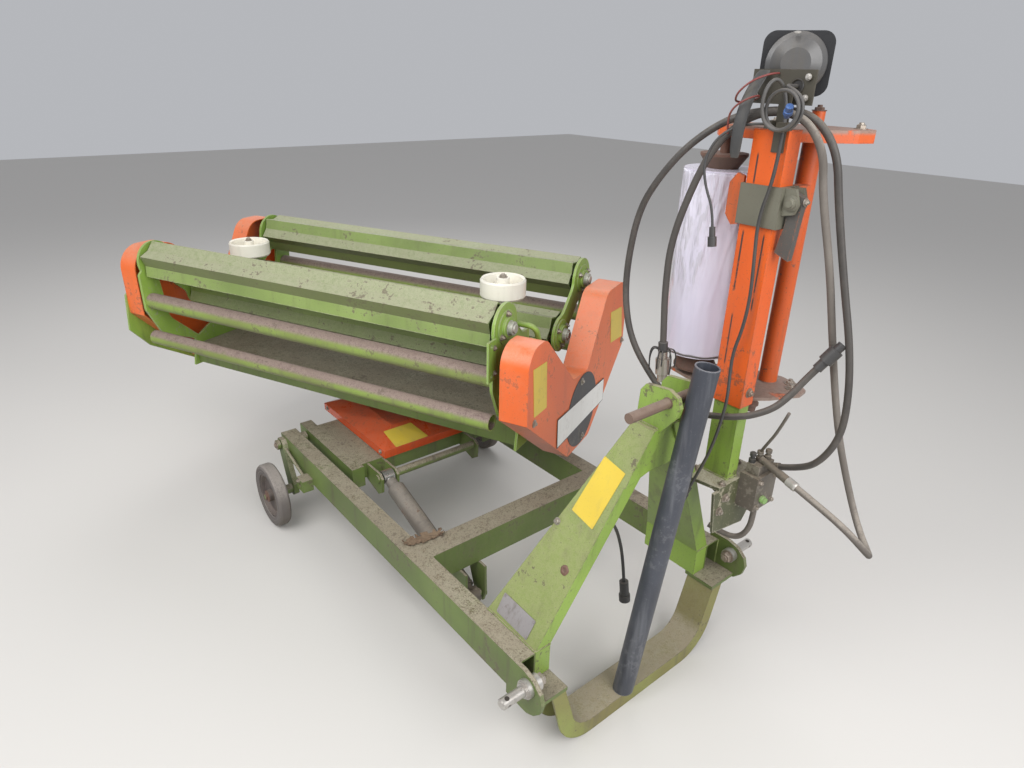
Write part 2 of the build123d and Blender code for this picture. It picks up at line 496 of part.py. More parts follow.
# Rear wheels on bolted arms; each arm also carries a socket block on the beam
for name, s in (("near", -1), ("far", 1)):
    y0, y1 = sorted((s * HALF, s * (HALF + 20)))
    arm_pts = [(-1006, 296), (-996, 314), (-966, 316), (-952, 300), (-886, 150), (-884, 112), (-900, 98), (-925, 98), (-942, 118)]
    arm = plate_xz(arm_pts, y0, y1)
    arm -= rod((HINGE_X, s * (HALF - 10), HINGE_Z), (HINGE_X, s * (HALF + 40), HINGE_Z), HINGE_R)
    arm += rod((WHEEL_X, s * HALF, WHEEL_R), (WHEEL_X, s * (WHEEL_Y[1] + 8), WHEEL_R), AXLE_R)
    arm += rod((WHEEL_X, s * HALF, WHEEL_R), (WHEEL_X, s * (WHEEL_Y[0] - 6), WHEEL_R), 19)
    s0, s1 = sorted((s * HALF, s * (HALF + 42)))
    arm += block(-782, -728, s0, s1, 204, 250)
    arm -= rod((-755, s * (HALF + 10), 227), (-755, s * (HALF + 60), 227), 8)
    arm += rod((-950, s * (HALF + 10), 282), (-770, s * (HALF + 14), 236), 6)
    keep("wheel_arm_" + name, arm)
    w0, w1 = sorted((s * WHEEL_Y[0], s * WHEEL_Y[1]))
    yc = (w0 + w1) / 2
    hw = (w1 - w0) / 2
    tyre_pts = [(88, -hw + 4), (112, -hw), (WHEEL_R - 5, -hw + 3), (WHEEL_R, -hw + 10)]
    tyre_pts += [(WHEEL_R, hw - 10), (WHEEL_R - 5, hw - 3), (112, hw), (88, hw - 4)]
    prof = make_face(Polyline(*tyre_pts, close=True))
    tyre = revolve(Plane.XY * prof, Axis.Y)
    tyre = Pos(WHEEL_X, yc, WHEEL_R) * tyre
    keep("tyre_" + name, tyre)
    rim_pts = [(AXLE_R + FIT, -22), (24, -22), (24, -6), (70, -4), (80, -17), (88, -17), (88, 17), (80, 17), (70, 4), (24, 6)]
    rim_pts += [(24, 22), (AXLE_R + FIT, 22)]
    rim = Pos(WHEEL_X, yc, WHEEL_R) * revolve(Plane.XY * make_face(Polyline(*rim_pts, close=True)), Axis.Y)
    keep("rim_" + name, rim)

# Turntable pieces are drawn in the table's own frame and then turned into place
TURN = Location((TABLE_X, TABLE_Y, 0), (0, 0, TABLE_TURN))


def seat(name, shape):
    return keep(name, TURN * shape)


base_t = block(-END_A + PLATE_T, END_A - PLATE_T, -SPINE_B, SPINE_B, SPINE_Z[0], SPINE_Z[1])
base_t -= block(-END_A, END_A, -SPINE_B + 8, SPINE_B - 8, SPINE_Z[0] - 5, SPINE_Z[1] - 8)
base_t += block(-130, 130, -SPINE_B + 5, SPINE_B - 5, SPINE_Z[0], SPINE_Z[0] + 10)
base_t += Pos(0, 0, SPINE_Z[0] - 19) * Cylinder(66, 58)
base_t -= Pos(0, 0, SPINE_Z[0] - 32) * Cylinder(SPINDLE_R + FIT, 60)
seat("table_spine", base_t)

COVER_STUDS = ((-345, 730), (345, 730), (-80, 520), (80, 520))

# End frames: a dog-bone bearing plate at each side, tied by a cross web that stands on the spine
DISC_UP = 76.0
DISC_LOW = 66.0
NECK = 40.0


def dogbone(side, a0, a1):
    c_up = (side * AX_B, AX_Z)
    c_lo = (side * LOW_B, LOW_Z)
    dx = c_lo[0] - c_up[0]
    dz = c_lo[1] - c_up[1]
    n = math.hypot(dx, dz)
    ub, uz = dx / n * NECK, dz / n * NECK
    strip = [(c_up[0] + uz, c_up[1] - ub), (c_lo[0] + uz, c_lo[1] - ub), (c_lo[0] - uz, c_lo[1] + ub), (c_up[0] - uz, c_up[1] + ub)]
    pl = Plane(origin=(a0, 0, 0), x_dir=(0, 1, 0), z_dir=(1, 0, 0))
    sk = Pos(c_up[0], c_up[1]) * Circle(DISC_UP) + Pos(c_lo[0], c_lo[1]) * Circle(DISC_LOW)
    sk += make_face(Polyline(*strip, close=True))
    sk = fillet(sk.vertices(), 50)
    return extrude(pl * sk, amount=a1 - a0)


def ring(b, z, a0, a1, r):
    return rod((a0, b, z), (a1, b, z), r)


# Side band of an end frame, from the upper bearing down to the foot: (b, height, corner radius)
BAND = ((372, 930, 8), (396, 905, 12), (396, 765, 40), (345, 655, 30), (200, 585, 8), (215, 480, 4), (60, 480, 4), (300, 712, 60), (318, 905, 8))
for name, e in (("front", 1), ("rear", -1)):
    a_in, a_out = sorted((e * (END_A - PLATE_T), e * END_A))
    end = dogbone(-1, a_in, a_out) + dogbone(1, a_in, a_out)
    for sb in (-1, 1):
        end += rounded_yz([(sb * b, z, r) for b, z, r in BAND], a_in, a_out)
    end += plate_yz([(-220, 470), (220, 470), (200, 585), (90, 640), (-90, 640), (-200, 585)], a_in, a_out)
    if e > 0:
        end += plate_yz([(-205, 830), (-140, 790), (-146, 896), (-196, 896)], a_in, a_out)
        strap = block(END_A, END_A + 6, -434, -386, 808, 936)
        for z in (824, 920):
            strap -= ring(-414, z, END_A - 5, END_A + 10, 5)
        end += strap
        end += plate_yz([(AX_B + 40, 860), (AX_B + 84, 870), (AX_B + 84, 936), (AX_B + 70, 944), (AX_B + 40, 944)], END_A, END_A + 6)
        handle = FilletPolyline((END_A - 2, -232, 935), (END_A + 62, -232, 935), (END_A + 62, -190, 850), (END_A - 2, -190, 850), radius=26)
        end += sweep(Plane(origin=handle @ 0, z_dir=handle % 0) * Circle(9), path=handle)
    else:
        end += plate_yz([(70, 770), (140, 770), (122, 886), (78, 886)], a_in, a_out)
    reach = COVER_FRONT[1] - SHEET if e > 0 else -COVER_REAR[0] - SHEET
    for b, z in COVER_STUDS:
        r0, r1 = sorted((e * (END_A - PLATE_T), e * reach))
        end += ring(b, z, r0, r1, 8)
    for b, z in ((-AX_B, AX_Z), (AX_B, AX_Z), (-LOW_B, LOW_Z), (LOW_B, LOW_Z)):
        for r, thick in ((53, 4), (34, 13)):
            r0, r1 = sorted((e * END_A, e * (END_A + thick)))
            end += ring(b, z, r0, r1, r)
        end -= ring(b, z, e * (END_A - 30), e * (END_A + 30), SHAFT_R + FIT)
    seat("end_frame_" + name, end)

# Four star-shaped rollers of folded sheet with shafts and end discs
ROLLERS = (
    # name, b, height, turn of the first rib
    ("a", -AX_B, AX_Z, 38.5),
    ("b", AX_B, AX_Z, 4.5),
    ("c", LOW_B, LOW_Z, 0.0),
    ("d", -LOW_B, LOW_Z, 20.0),
)


def star(r_out, r_in, phase, a0, a1, b, z):
    pts = []
    for i in range(12):
        r = r_out if i % 2 == 0 else r_in
        t = math.radians(phase + 30 * i)
        pts.append((b + r * math.cos(t), z + r * math.sin(t)))
    return plate_yz(pts, a0, a1)


for name, b, z, phase in ROLLERS:
    body = star(STAR_OUT, STAR_IN, phase, -ROLL_HALF, ROLL_HALF, b, z)
    body -= star(STAR_OUT - 6, STAR_IN - 4, phase, -ROLL_HALF - 5, ROLL_HALF + 5, b, z)
    for a in (-ROLL_HALF + 14, ROLL_HALF - 22):
        disc = star(STAR_OUT - 4, STAR_IN - 2, phase, a, a + 8, b, z)
        for k in range(3):
            t = math.radians(120 * k)
            disc -= ring(b + 38 * math.cos(t), z + 38 * math.sin(t), a - 5, a + 15, 11)
        body += disc
    body += ring(b, z, -END_A - 18, END_A + 18, SHAFT_R)
    seat("roller_" + name, body)

# Long round tubes along the near and far side, between the end frames
for name, sb in (("near", -1), ("far", 1)):
    for kind, (tube_b, tube_z, tube_r) in (("upper", TUBE_UP), ("lower", TUBE_LOW)):
        low_end = (-END_A + PLATE_T, sb * tube_b, tube_z)
        high_end = (END_A - PLATE_T, sb * tube_b, tube_z)
        seat(kind + "_tube_" + name, pipe(low_end, high_end, tube_r, 4))

# Chain covers: folded boxes with two round-topped arms, open towards the end frame
COVERS = (
    # name, open side, closed side, outline as (b, height, corner radius)
    ("front", COVER_FRONT[0], COVER_FRONT[1], (
        (-438, 700, 4), (-438, 936, 70), (-318, 936, 60), (-76, 712, 10), (54, 698, 10),
        (216, 940, 60), (446, 940, 90), (446, 672, 30), (110, 416, 12), (-90, 420, 8))),
    ("rear", COVER_REAR[1], COVER_REAR[0], (
        (-388, 735, 6), (-388, 1000, 90), (-196, 1000, 80), (-70, 745, 20), (70, 745, 20),
        (212, 1008, 80), (410, 1008, 95), (410, 735, 6), (100, 425, 10), (-100, 425, 10))),
)
for name, a_open, a_wall, outline in COVERS:
    e = 1 if a_wall > 0 else -1
    shell = rounded_yz(outline, *sorted((a_open, a_wall)))
    shell -= rounded_yz(outline, *sorted((a_open - 5 * e, a_wall - SHEET * e)), inset=SHEET)
    seat("chain_cover_" + name, shell)
guard_pts = [(-405, 665), (-392, 808), (-376, 820), (-250, 700), (250, 700), (376, 820), (392, 808), (405, 665)]
guard_pts += [(330, 575), (40, 392), (-40, 392), (-330, 575)]
seat("rear_guard_plate", plate_yz(guard_pts, COVER_REAR[0] - 8, COVER_REAR[0]))

# Guide rollers of white plastic on upright spindles, each on an arm from an end frame
GUIDES = (
    # name, a, b, height of the middle, radius, height of the arm's underside
    ("front", 684.0, -160.0, 1020.0, 74.0, 882.0),
    ("rear", -700.0, 100.0, 922.0, 84.0, 871.0),
)
for name, a, b, z, r, arm_z in GUIDES:
    hgt = 30.0
    prof = [(9 + FIT, -22), (21, -22), (21, -8), (r - 14, -8), (r - 10, -hgt + 4), (r - 4, -hgt), (r, -hgt + 6)]
    prof += [(r, hgt - 6), (r - 4, hgt), (r - 10, hgt - 4), (r - 14, 0), (21, 0), (21, 22), (9 + FIT, 22)]
    wheel = Pos(a, b, z) * revolve(Plane.XZ * make_face(Polyline(*prof, close=True)), Axis.Z)
    seat("guide_roller_" + name, wheel)
    e = 1 if a > 0 else -1
    stem = rod((a, b, arm_z), (a, b, z + 30), 9)
    stem += Pos(a, b, z + 27) * Cylinder(14, 6)
    a0, a1 = sorted((a - e * 14, e * (END_A - PLATE_T)))
    stem += block(a0, a1, b - 16, b + 16, arm_z, arm_z + 8)
    stem += rod((a, b, arm_z + 8), (a, b, z - 24), 13)
    seat("guide_stem_" + name, stem)

# The origin goes to the middle of the footprint, on the ground
boxes = [p.bounding_box() for n, p in parts.items() if n not in CORDS]
mid_x = (min(b.min.X for b in boxes) + max(b.max.X for b in boxes)) / 2
mid_y = (min(b.min.Y for b in boxes) + max(b.max.Y for b in boxes)) / 2
low_z = min(b.min.Z for b in boxes)
print("shift", -mid_x, -mid_y, -low_z)
for name, solid in parts.items():
    moved = solid.moved(Location((-mid_x, -mid_y, -low_z)))
    export_step(moved, "parts/" + name + ".step")
    print(name, "vol %.0f" % moved.volume)
print(len(parts), "nodes")
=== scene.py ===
import bpy
import bmesh
import json
import math
from mathutils import Matrix, Vector, noise


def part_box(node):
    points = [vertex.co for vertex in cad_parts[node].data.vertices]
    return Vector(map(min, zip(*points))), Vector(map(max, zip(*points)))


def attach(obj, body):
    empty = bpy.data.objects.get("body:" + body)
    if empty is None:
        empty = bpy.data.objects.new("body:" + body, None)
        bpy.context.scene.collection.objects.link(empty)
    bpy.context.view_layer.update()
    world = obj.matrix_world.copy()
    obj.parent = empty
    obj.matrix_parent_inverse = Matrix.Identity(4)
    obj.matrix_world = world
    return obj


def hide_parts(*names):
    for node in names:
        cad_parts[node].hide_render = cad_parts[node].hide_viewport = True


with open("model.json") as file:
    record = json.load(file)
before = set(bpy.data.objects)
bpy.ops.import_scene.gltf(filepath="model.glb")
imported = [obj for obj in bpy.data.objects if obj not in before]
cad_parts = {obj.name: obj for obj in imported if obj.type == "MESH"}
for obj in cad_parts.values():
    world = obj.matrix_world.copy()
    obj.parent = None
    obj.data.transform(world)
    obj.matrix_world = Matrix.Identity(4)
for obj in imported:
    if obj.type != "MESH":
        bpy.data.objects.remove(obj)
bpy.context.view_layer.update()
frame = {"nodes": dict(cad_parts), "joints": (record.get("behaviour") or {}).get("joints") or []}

nodes = frame["nodes"]

# Camera at a standing eye height, a little in front of the near hitch pin, looking down
# along the machine. at() takes millimetres from the machine's own zero: the crossbeam's
# front face, the middle of the frame, the floor.
beam_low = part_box("main_frame")[0]
zero = Vector((beam_low[0] + 1.01, beam_low[1] + 0.444, 0.0))


def at(x, y, z):
    return Vector((x / 1000, y / 1000, z / 1000)) + zero


def placed(name, data):
    piece = bpy.data.objects.new(name, data)
    bpy.context.collection.objects.link(piece)
    return piece


eye = at(1406.27, -1219.84, 1643.24)
yaw, pitch, roll = 2.45185772, 0.42727203, 0.02344345
photo_width, focal_pixels, film_width = 1024, 682.58, 36.0
look = Vector((math.cos(yaw) * math.cos(pitch), math.sin(yaw) * math.cos(pitch), -math.sin(pitch)))
side = Vector((math.sin(yaw), -math.cos(yaw), 0.0))
lift = side.cross(look)
right = side * math.cos(roll) + lift * math.sin(roll)
up = lift * math.cos(roll) - side * math.sin(roll)
camera_data = bpy.data.cameras.new("camera")
camera_data.sensor_width = film_width
camera_data.lens = focal_pixels / photo_width * film_width
camera_data.clip_start = 0.05
camera = placed("camera", camera_data)
camera.matrix_world = Matrix.Translation(eye) @ Matrix((right, up, -look)).transposed().to_4x4()
bpy.context.scene.camera = camera

# Floor and light: a pale plain floor, one broad soft lamp high on the near side, one
# in front, a weaker one from the far side, and an even sky.
floor_reach = 14.0
floor_mesh = bpy.data.meshes.new("floor")
floor_corners = [(a * floor_reach, b * floor_reach, 0) for a, b in ((-1, -1), (1, -1), (1, 1), (-1, 1))]
floor_mesh.from_pydata(floor_corners, [], [(0, 1, 2, 3)])
floor = placed("floor", floor_mesh)
floor.location.z = -0.0005
floor_paint = bpy.data.materials.new("floor_pale")
floor_paint.use_nodes = True
floor_shader = floor_paint.node_tree.nodes["Principled BSDF"]
floor_shader.inputs["Base Color"].default_value = (0.62, 0.6, 0.57, 1)
floor_shader.inputs["Roughness"].default_value = 0.85
floor_mesh.materials.append(floor_paint)
lamp_aim = Vector((0, 0, 0.5))
for name, place, size, power in (
        ("lamp_near", (1.0, -2.7, 3.5), 3.0, 128.0), ("lamp_front", (3.7, -0.2, 2.5), 2.4, 90.0),
        ("lamp_far", (-2.6, 1.8, 3.4), 3.0, 60.0)):
    lamp_data = bpy.data.lights.new(name, "AREA")
    lamp_data.size = size
    lamp_data.energy = power
    lamp = placed(name, lamp_data)
    lamp.location = place
    lamp.rotation_euler = (lamp_aim - Vector(place)).to_track_quat("-Z", "Y").to_euler()
world = bpy.data.worlds.new("sky")
bpy.context.scene.world = world
world.use_nodes = True
world.node_tree.nodes["Background"].inputs["Color"].default_value = (0.93, 0.95, 1.0, 1)
world.node_tree.nodes["Background"].inputs["Strength"].default_value = 0.5
bpy.context.scene.view_settings.view_transform = "Standard"

# Main frame: thick square tube, welded, in yellow-green paint, darkened as painted shade,
# that has worn to a brown film of dust and rust on every top face. The wear is one group
# that all painted steel shares: dust on what faces up, chips at edges and in spots, and
# streaks of old dirt; it also gives painted shade on faces that look down and a painted
# highlight along edges.


def feed(tree, socket, value):
    if isinstance(value, bpy.types.NodeSocket):
        tree.links.new(value, socket)
    else:
        socket.default_value = (*value, 1) if socket.type == "RGBA" else value


def new_node(tree, kind, feeds, **settings):
    node = tree.nodes.new(kind)
    for key, value in settings.items():
        setattr(node, key, value)
    for key, value in feeds.items():
        feed(tree, node.inputs[key], value)
    return node


def patch_noise(tree, place, scale, detail, rough):
    feeds = {"Scale": scale, "Detail": detail, "Roughness": rough, "Vector": place}
    return new_node(tree, "ShaderNodeTexNoise", feeds).outputs["Fac"]


def ramp(tree, source, low, high):
    feeds = {"Value": source, "From Min": low, "From Max": high}
    return new_node(tree, "ShaderNodeMapRange", feeds, interpolation_type="SMOOTHSTEP").outputs["Result"]


def combine(tree, kind, first, second):
    feeds = {0: first, 1: second}
    return new_node(tree, "ShaderNodeMath", feeds, operation=kind, use_clamp=True).outputs["Value"]


def times(tree, first, second):
    return combine(tree, "MULTIPLY", first, second)


def blend_colour(tree, factor, first, second):
    return new_node(tree, "ShaderNodeMix", {0: factor, 6: first, 7: second}, data_type="RGBA").outputs[2]


def along_way(tree, place, way):
    return new_node(tree, "ShaderNodeVectorMath", {0: place, 1: way}, operation="DOT_PRODUCT").outputs["Value"]


def bumped(tree, height, strength, distance):
    feeds = {"Height": height, "Strength": strength, "Distance": distance}
    bump = new_node(tree, "ShaderNodeBump", feeds).outputs["Normal"]
    feed(tree, tree.nodes["Principled BSDF"].inputs["Normal"], bump)


wear = bpy.data.node_groups.new("steel_wear", "ShaderNodeTree")
for label, value in (("Dust", 0.5), ("Chips", 0.3), ("Streaks", 0.3), ("Grain", 1.0)):
    wear.interface.new_socket(label, in_out="INPUT", socket_type="NodeSocketFloat").default_value = value
wear_in = wear.nodes.new("NodeGroupInput").outputs
wear_place = wear.nodes.new("ShaderNodeTexCoord").outputs["Object"]
wear_normal = wear.nodes.new("ShaderNodeNewGeometry").outputs["Normal"]
upward = new_node(wear, "ShaderNodeSeparateXYZ", {"Vector": wear_normal}).outputs["Z"]
broad = patch_noise(wear, wear_place, 7.0, 5.0, 0.65)
fine = patch_noise(wear, wear_place, 60.0, 4.0, 0.7)
speck = patch_noise(wear, wear_place, 260.0, 2.0, 0.5)
cloud = combine(wear, "ADD", times(wear, broad, 0.7), times(wear, fine, 0.3))
mottle = combine(wear, "ADD", times(wear, speck, 0.55), times(wear, fine, 0.45))
lying = times(wear, ramp(wear, upward, 0.15, 0.95), ramp(wear, cloud, 0.28, 0.6))
lying = times(wear, lying, ramp(wear, mottle, 0.22, 0.52))
dusty = combine(wear, "MAXIMUM", lying, times(wear, ramp(wear, cloud, 0.45, 0.75), 0.35))
edge = new_node(wear, "ShaderNodeBevel", {"Radius": 0.005}, samples=4).outputs["Normal"]
edge_mask = ramp(wear, combine(wear, "SUBTRACT", 1.0, along_way(wear, edge, wear_normal)), 0.02, 0.16)
edge_chip = times(wear, edge_mask, ramp(wear, fine, 0.42, 0.6))
spot_chip = ramp(wear, times(wear, fine, broad), 0.33, 0.36)
dot_chip = times(wear, ramp(wear, speck, 0.655, 0.7), 0.85)
all_chips = combine(wear, "MAXIMUM", edge_chip, combine(wear, "MAXIMUM", spot_chip, dot_chip))
drawn_out = new_node(
    wear, "ShaderNodeMapping", {"Scale": (26.0, 26.0, 2.4), "Vector": wear_place}).outputs["Vector"]
run_marks = patch_noise(wear, drawn_out, 1.0, 4.0, 0.6)
masks = {
    "Dust Mask": times(wear, dusty, wear_in["Dust"]),
    "Chip Mask": times(wear, all_chips, wear_in["Chips"]),
    "Streak Mask": times(wear, ramp(wear, run_marks, 0.52, 0.72), wear_in["Streaks"]),
    # painted shade: faces that look down
    "Underside Shade Mask": times(wear, ramp(wear, upward, -0.05, -0.75), ramp(wear, cloud, 0.15, 0.55)),
    "Top Mask": times(wear, ramp(wear, upward, 0.1, 0.7), ramp(wear, cloud, 0.16, 0.42)),
    # painted highlight: a lighter line along edges
    "Edge Highlight Mask": times(wear, edge_mask, ramp(wear, broad, 0.3, 0.55)),
    "Mottle": ramp(wear, mottle, 0.36, 0.62),
    "Height": times(wear, fine, wear_in["Grain"])}
for label in masks:
    wear.interface.new_socket(label, in_out="OUTPUT", socket_type="NodeSocketFloat")
wear_out = wear.nodes.new("NodeGroupOutput")
for label, mask in masks.items():
    feed(wear, wear_out.inputs[label], mask)


def painted(name, paint, shade, dust_colour, dust=0.6, chips=0.4, streaks=0.3, gloss=0.5,
            bare=(0.1, 0.075, 0.055), grime_and_shade=(0.12, 0.1, 0.07), metal=0.0, topping=None, edge_highlight=None):
    material = bpy.data.materials.new(name)
    material.use_nodes = True
    tree = material.node_tree
    shader = tree.nodes["Principled BSDF"].inputs
    feeds = {"Dust": dust, "Chips": chips, "Streaks": streaks}
    marks = new_node(tree, "ShaderNodeGroup", feeds, node_tree=wear).outputs
    spot = tree.nodes.new("ShaderNodeTexCoord").outputs["Object"]
    fade = ramp(tree, patch_noise(tree, spot, 3.0, 3.0, 0.5), 0.35, 0.65)
    colour = blend_colour(tree, fade, paint, shade)
    colour = blend_colour(tree, marks["Streak Mask"], colour, grime_and_shade)
    # painted shade: faces that look down are darkened towards the grime colour
    colour = blend_colour(tree, times(tree, marks["Underside Shade Mask"], 0.55), colour, grime_and_shade)
    # painted highlight: edges are lightened towards the edge highlight colour
    if edge_highlight:
        colour = blend_colour(tree, times(tree, marks["Edge Highlight Mask"], 0.75), colour, edge_highlight)
    if topping:
        pale, dark, cover = topping
        lain = blend_colour(tree, marks["Mottle"], pale, dark)
        colour = blend_colour(tree, times(tree, marks["Top Mask"], cover), colour, lain)
    colour = blend_colour(tree, marks["Dust Mask"], colour, dust_colour)
    colour = blend_colour(tree, marks["Chip Mask"], colour, bare)
    feed(tree, shader["Base Color"], colour)
    feed(tree, shader["Metallic"], metal)
    feed(tree, shader["Roughness"], combine(tree, "ADD", times(tree, marks["Dust Mask"], 0.4), gloss))
    bumped(tree, marks["Height"], 0.12, 0.002)
    return material


def dress(material, *names):
    for name in names:
        mesh = nodes[name].data
        mesh.materials.clear()
        mesh.materials.append(material)


# The frame's green is a darker copy of the legs' green: painted shade, as for beam sides that lie in shadow.
green_frame_shaded = painted(
    "green_frame_shaded", (0.14, 0.2, 0.047), (0.098, 0.136, 0.035), (0.265, 0.225, 0.165), dust=0.8, chips=0.6,
    streaks=0.45, grime_and_shade=(0.08, 0.065, 0.04), topping=((0.11, 0.078, 0.05), (0.4, 0.375, 0.275), 0.92))
dress(green_frame_shaded, "main_frame", "tilting_bed", "wheel_arm_near", "wheel_arm_far", "table_spine")

# Bolts and nuts: plated hexagon heads on washers, dulled and rusty. Each group is one
# mesh of points; the tree sets a washer, a head with its chamfer and a short shank on
# every point, facing one way, each turned at random.
bolt_tree = bpy.data.node_groups.new("hexagon_bolts", "GeometryNodeTree")
bolt_sockets = {}
for label, kind, value in (
        ("Points", "Geometry", None), ("Head Radius", "Float", 0.01), ("Head Height", "Float", 0.007),
        ("Washer Radius", "Float", 0.013), ("Shank Length", "Float", 0.004),
        ("Facing", "Vector", (0.0, 0.0, 1.0)), ("Seed", "Int", 7), ("Finish", "Material", None)):
    socket = bolt_tree.interface.new_socket(label, in_out="INPUT", socket_type="NodeSocket" + kind)
    bolt_sockets[label] = socket.identifier
    if value is not None:
        socket.default_value = value
bolt_tree.interface.new_socket("Bolts", in_out="OUTPUT", socket_type="NodeSocketGeometry")
bolt_in = bolt_tree.nodes.new("NodeGroupInput").outputs
bolt_out = bolt_tree.nodes.new("NodeGroupOutput").inputs


def bolt_node(kind, output, feeds, **settings):
    return new_node(bolt_tree, kind, feeds, **settings).outputs[output]


def bolt_math(kind, first, second):
    return bolt_node("ShaderNodeMath", "Value", {0: first, 1: second}, operation=kind)


def bolt_step(sides, low_radius, top_radius, height, base):
    sizes = {"Vertices": sides, "Radius Top": top_radius, "Radius Bottom": low_radius, "Depth": height}
    cone = bolt_node("GeometryNodeMeshCone", "Mesh", sizes)
    lift_up = bolt_node("ShaderNodeCombineXYZ", "Vector", {"Z": base})
    return bolt_node("GeometryNodeTransform", "Geometry", {"Geometry": cone, "Translation": lift_up})


washer_thick = 0.0018
head_r, head_h, washer_r = bolt_in["Head Radius"], bolt_in["Head Height"], bolt_in["Washer Radius"]
straight_h, chamfer_h = bolt_math("MULTIPLY", head_h, 0.8), bolt_math("MULTIPLY", head_h, 0.2)
chamfer_r = bolt_math("MULTIPLY", head_r, 0.84)
shank_low, shank_top = bolt_math("MULTIPLY", head_r, 0.55), bolt_math("MULTIPLY", head_r, 0.5)
bolt_join = bolt_tree.nodes.new("GeometryNodeJoinGeometry")
for step in (
        bolt_step(28, washer_r, washer_r, washer_thick, 0.0),
        bolt_step(6, head_r, head_r, straight_h, washer_thick),
        bolt_step(6, head_r, chamfer_r, chamfer_h, bolt_math("ADD", straight_h, washer_thick)),
        bolt_step(16, shank_low, shank_top, bolt_in["Shank Length"], bolt_math("ADD", head_h, washer_thick))):
    feed(bolt_tree, bolt_join.inputs["Geometry"], step)
one_way = bolt_node("FunctionNodeAlignRotationToVector", "Rotation", {"Vector": bolt_in["Facing"]}, axis="Z")
any_turn = bolt_node("FunctionNodeRandomValue", 1, {3: 6.28, "Seed": bolt_in["Seed"]}, data_type="FLOAT")
own_spin = bolt_node("ShaderNodeCombineXYZ", "Vector", {"Z": any_turn})
own_turn = bolt_node("FunctionNodeEulerToRotation", "Rotation", {"Euler": own_spin})
turns = {"Rotation": one_way, "Rotate By": own_turn}
set_way = bolt_node("FunctionNodeRotateRotation", "Rotation", turns, rotation_space="LOCAL")
on_points = {"Points": bolt_in["Points"], "Instance": bolt_join.outputs["Geometry"], "Rotation": set_way}
set_bolts = bolt_node("GeometryNodeInstanceOnPoints", "Instances", on_points)
real_bolts = bolt_node("GeometryNodeRealizeInstances", "Geometry", {"Geometry": set_bolts})
finished = {"Geometry": real_bolts, "Material": bolt_in["Finish"]}
feed(bolt_tree, bolt_out["Bolts"], bolt_node("GeometryNodeSetMaterial", "Geometry", finished))


def finish_piece(name, mesh, body, slot_name, *materials):
    piece = placed(name, mesh)
    for material in materials:
        mesh.materials.append(material)
    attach(piece, body)
    return piece


def made_plain(holder, name):
    bpy.context.view_layer.update()
    shape = bpy.data.meshes.new_from_object(holder.evaluated_get(bpy.context.evaluated_depsgraph_get()))
    shape.name = name
    holder.modifiers.clear()
    bpy.data.objects.remove(holder)
    return shape


bolt_steel = painted(
    "bolt_steel", (0.42, 0.39, 0.34), (0.3, 0.24, 0.19), (0.24, 0.17, 0.12), dust=0.35, chips=0.3, gloss=0.38,
    metal=0.6)


def bolts(name, body, facing, spots, head=10.0, height=7.0, washer=13.0, shank=4.0,
          slot_name="worn_steel", material=bolt_steel):
    seeds = bpy.data.meshes.new(name + "_points")
    seeds.from_pydata([tuple(spot) for spot in spots], [], [])
    holder = placed(name + "_points", seeds)
    modifier = holder.modifiers.new("bolts", "NODES")
    modifier.node_group = bolt_tree
    sizes = {"Head Radius": head, "Head Height": height, "Washer Radius": washer, "Shank Length": shank}
    for label, size in sizes.items():
        modifier[bolt_sockets[label]] = size / 1000
    modifier[bolt_sockets["Facing"]] = tuple(facing)
    modifier[bolt_sockets["Seed"]] = len(name) * 7 + len(spots)
    modifier[bolt_sockets["Finish"]] = material
    shape = made_plain(holder, name)
    bpy.data.meshes.remove(seeds)
    return finish_piece(name, shape, body, slot_name)


hands = (("near", -1), ("far", 1))
for hand, s in hands:
    bolts("hinge_bolt_" + hand, "frame", (0, s, 0), [at(-980, s * 444, 292)], head=11, height=5, washer=17, shank=2)

# Flake of dry mud that lies over the corner of crossbeam and near beam, cracked at its
# edge and curled up from the steel. It is light brown, brittle and matt.


def close_piece(work, name, body, slot_name, material):
    mesh = bpy.data.meshes.new(name)
    work.to_mesh(mesh)
    work.free()
    return finish_piece(name, mesh, body, slot_name, material)


def skinned(name, rows, body, slot_name, material, round_rows=False, round_all=False, ends=False,
            smooth=False, hard_angle=None, torn=None):
    # faces between neighbouring rows of points; a row, and the whole, may close on itself
    work = bmesh.new()
    rows = [[work.verts.new(point) for point in row] for row in rows]
    for i, (lower, upper) in enumerate(zip(rows, rows[1:] + rows[:1] if round_all else rows[1:])):
        for k in range(len(lower) if round_rows else len(lower) - 1):
            after = (k + 1) % len(lower)
            if not (torn and torn(i, k)):
                work.faces.new((lower[k], lower[after], upper[after], upper[k])).smooth = smooth
    if ends:
        work.faces.new(rows[0])
        work.faces.new(rows[-1])
    if torn:
        bmesh.ops.delete(work, geom=[spot for spot in work.verts if not spot.link_faces], context="VERTS")
    bmesh.ops.recalc_face_normals(work, faces=work.faces)
    if hard_angle:
        for line in work.edges:
            if len(line.link_faces) == 2 and line.calc_face_angle(0) > hard_angle:
                line.smooth = False
    return close_piece(work, name, body, slot_name, material)


flake_long, flake_wide = 17, 7


def flake_torn(i, j):
    at_rim = j in (0, flake_wide - 2) or i in (0, flake_long - 2)
    return at_rim and noise.noise(Vector((i * 1.3, j * 2.1, 4.0))) > 0.04


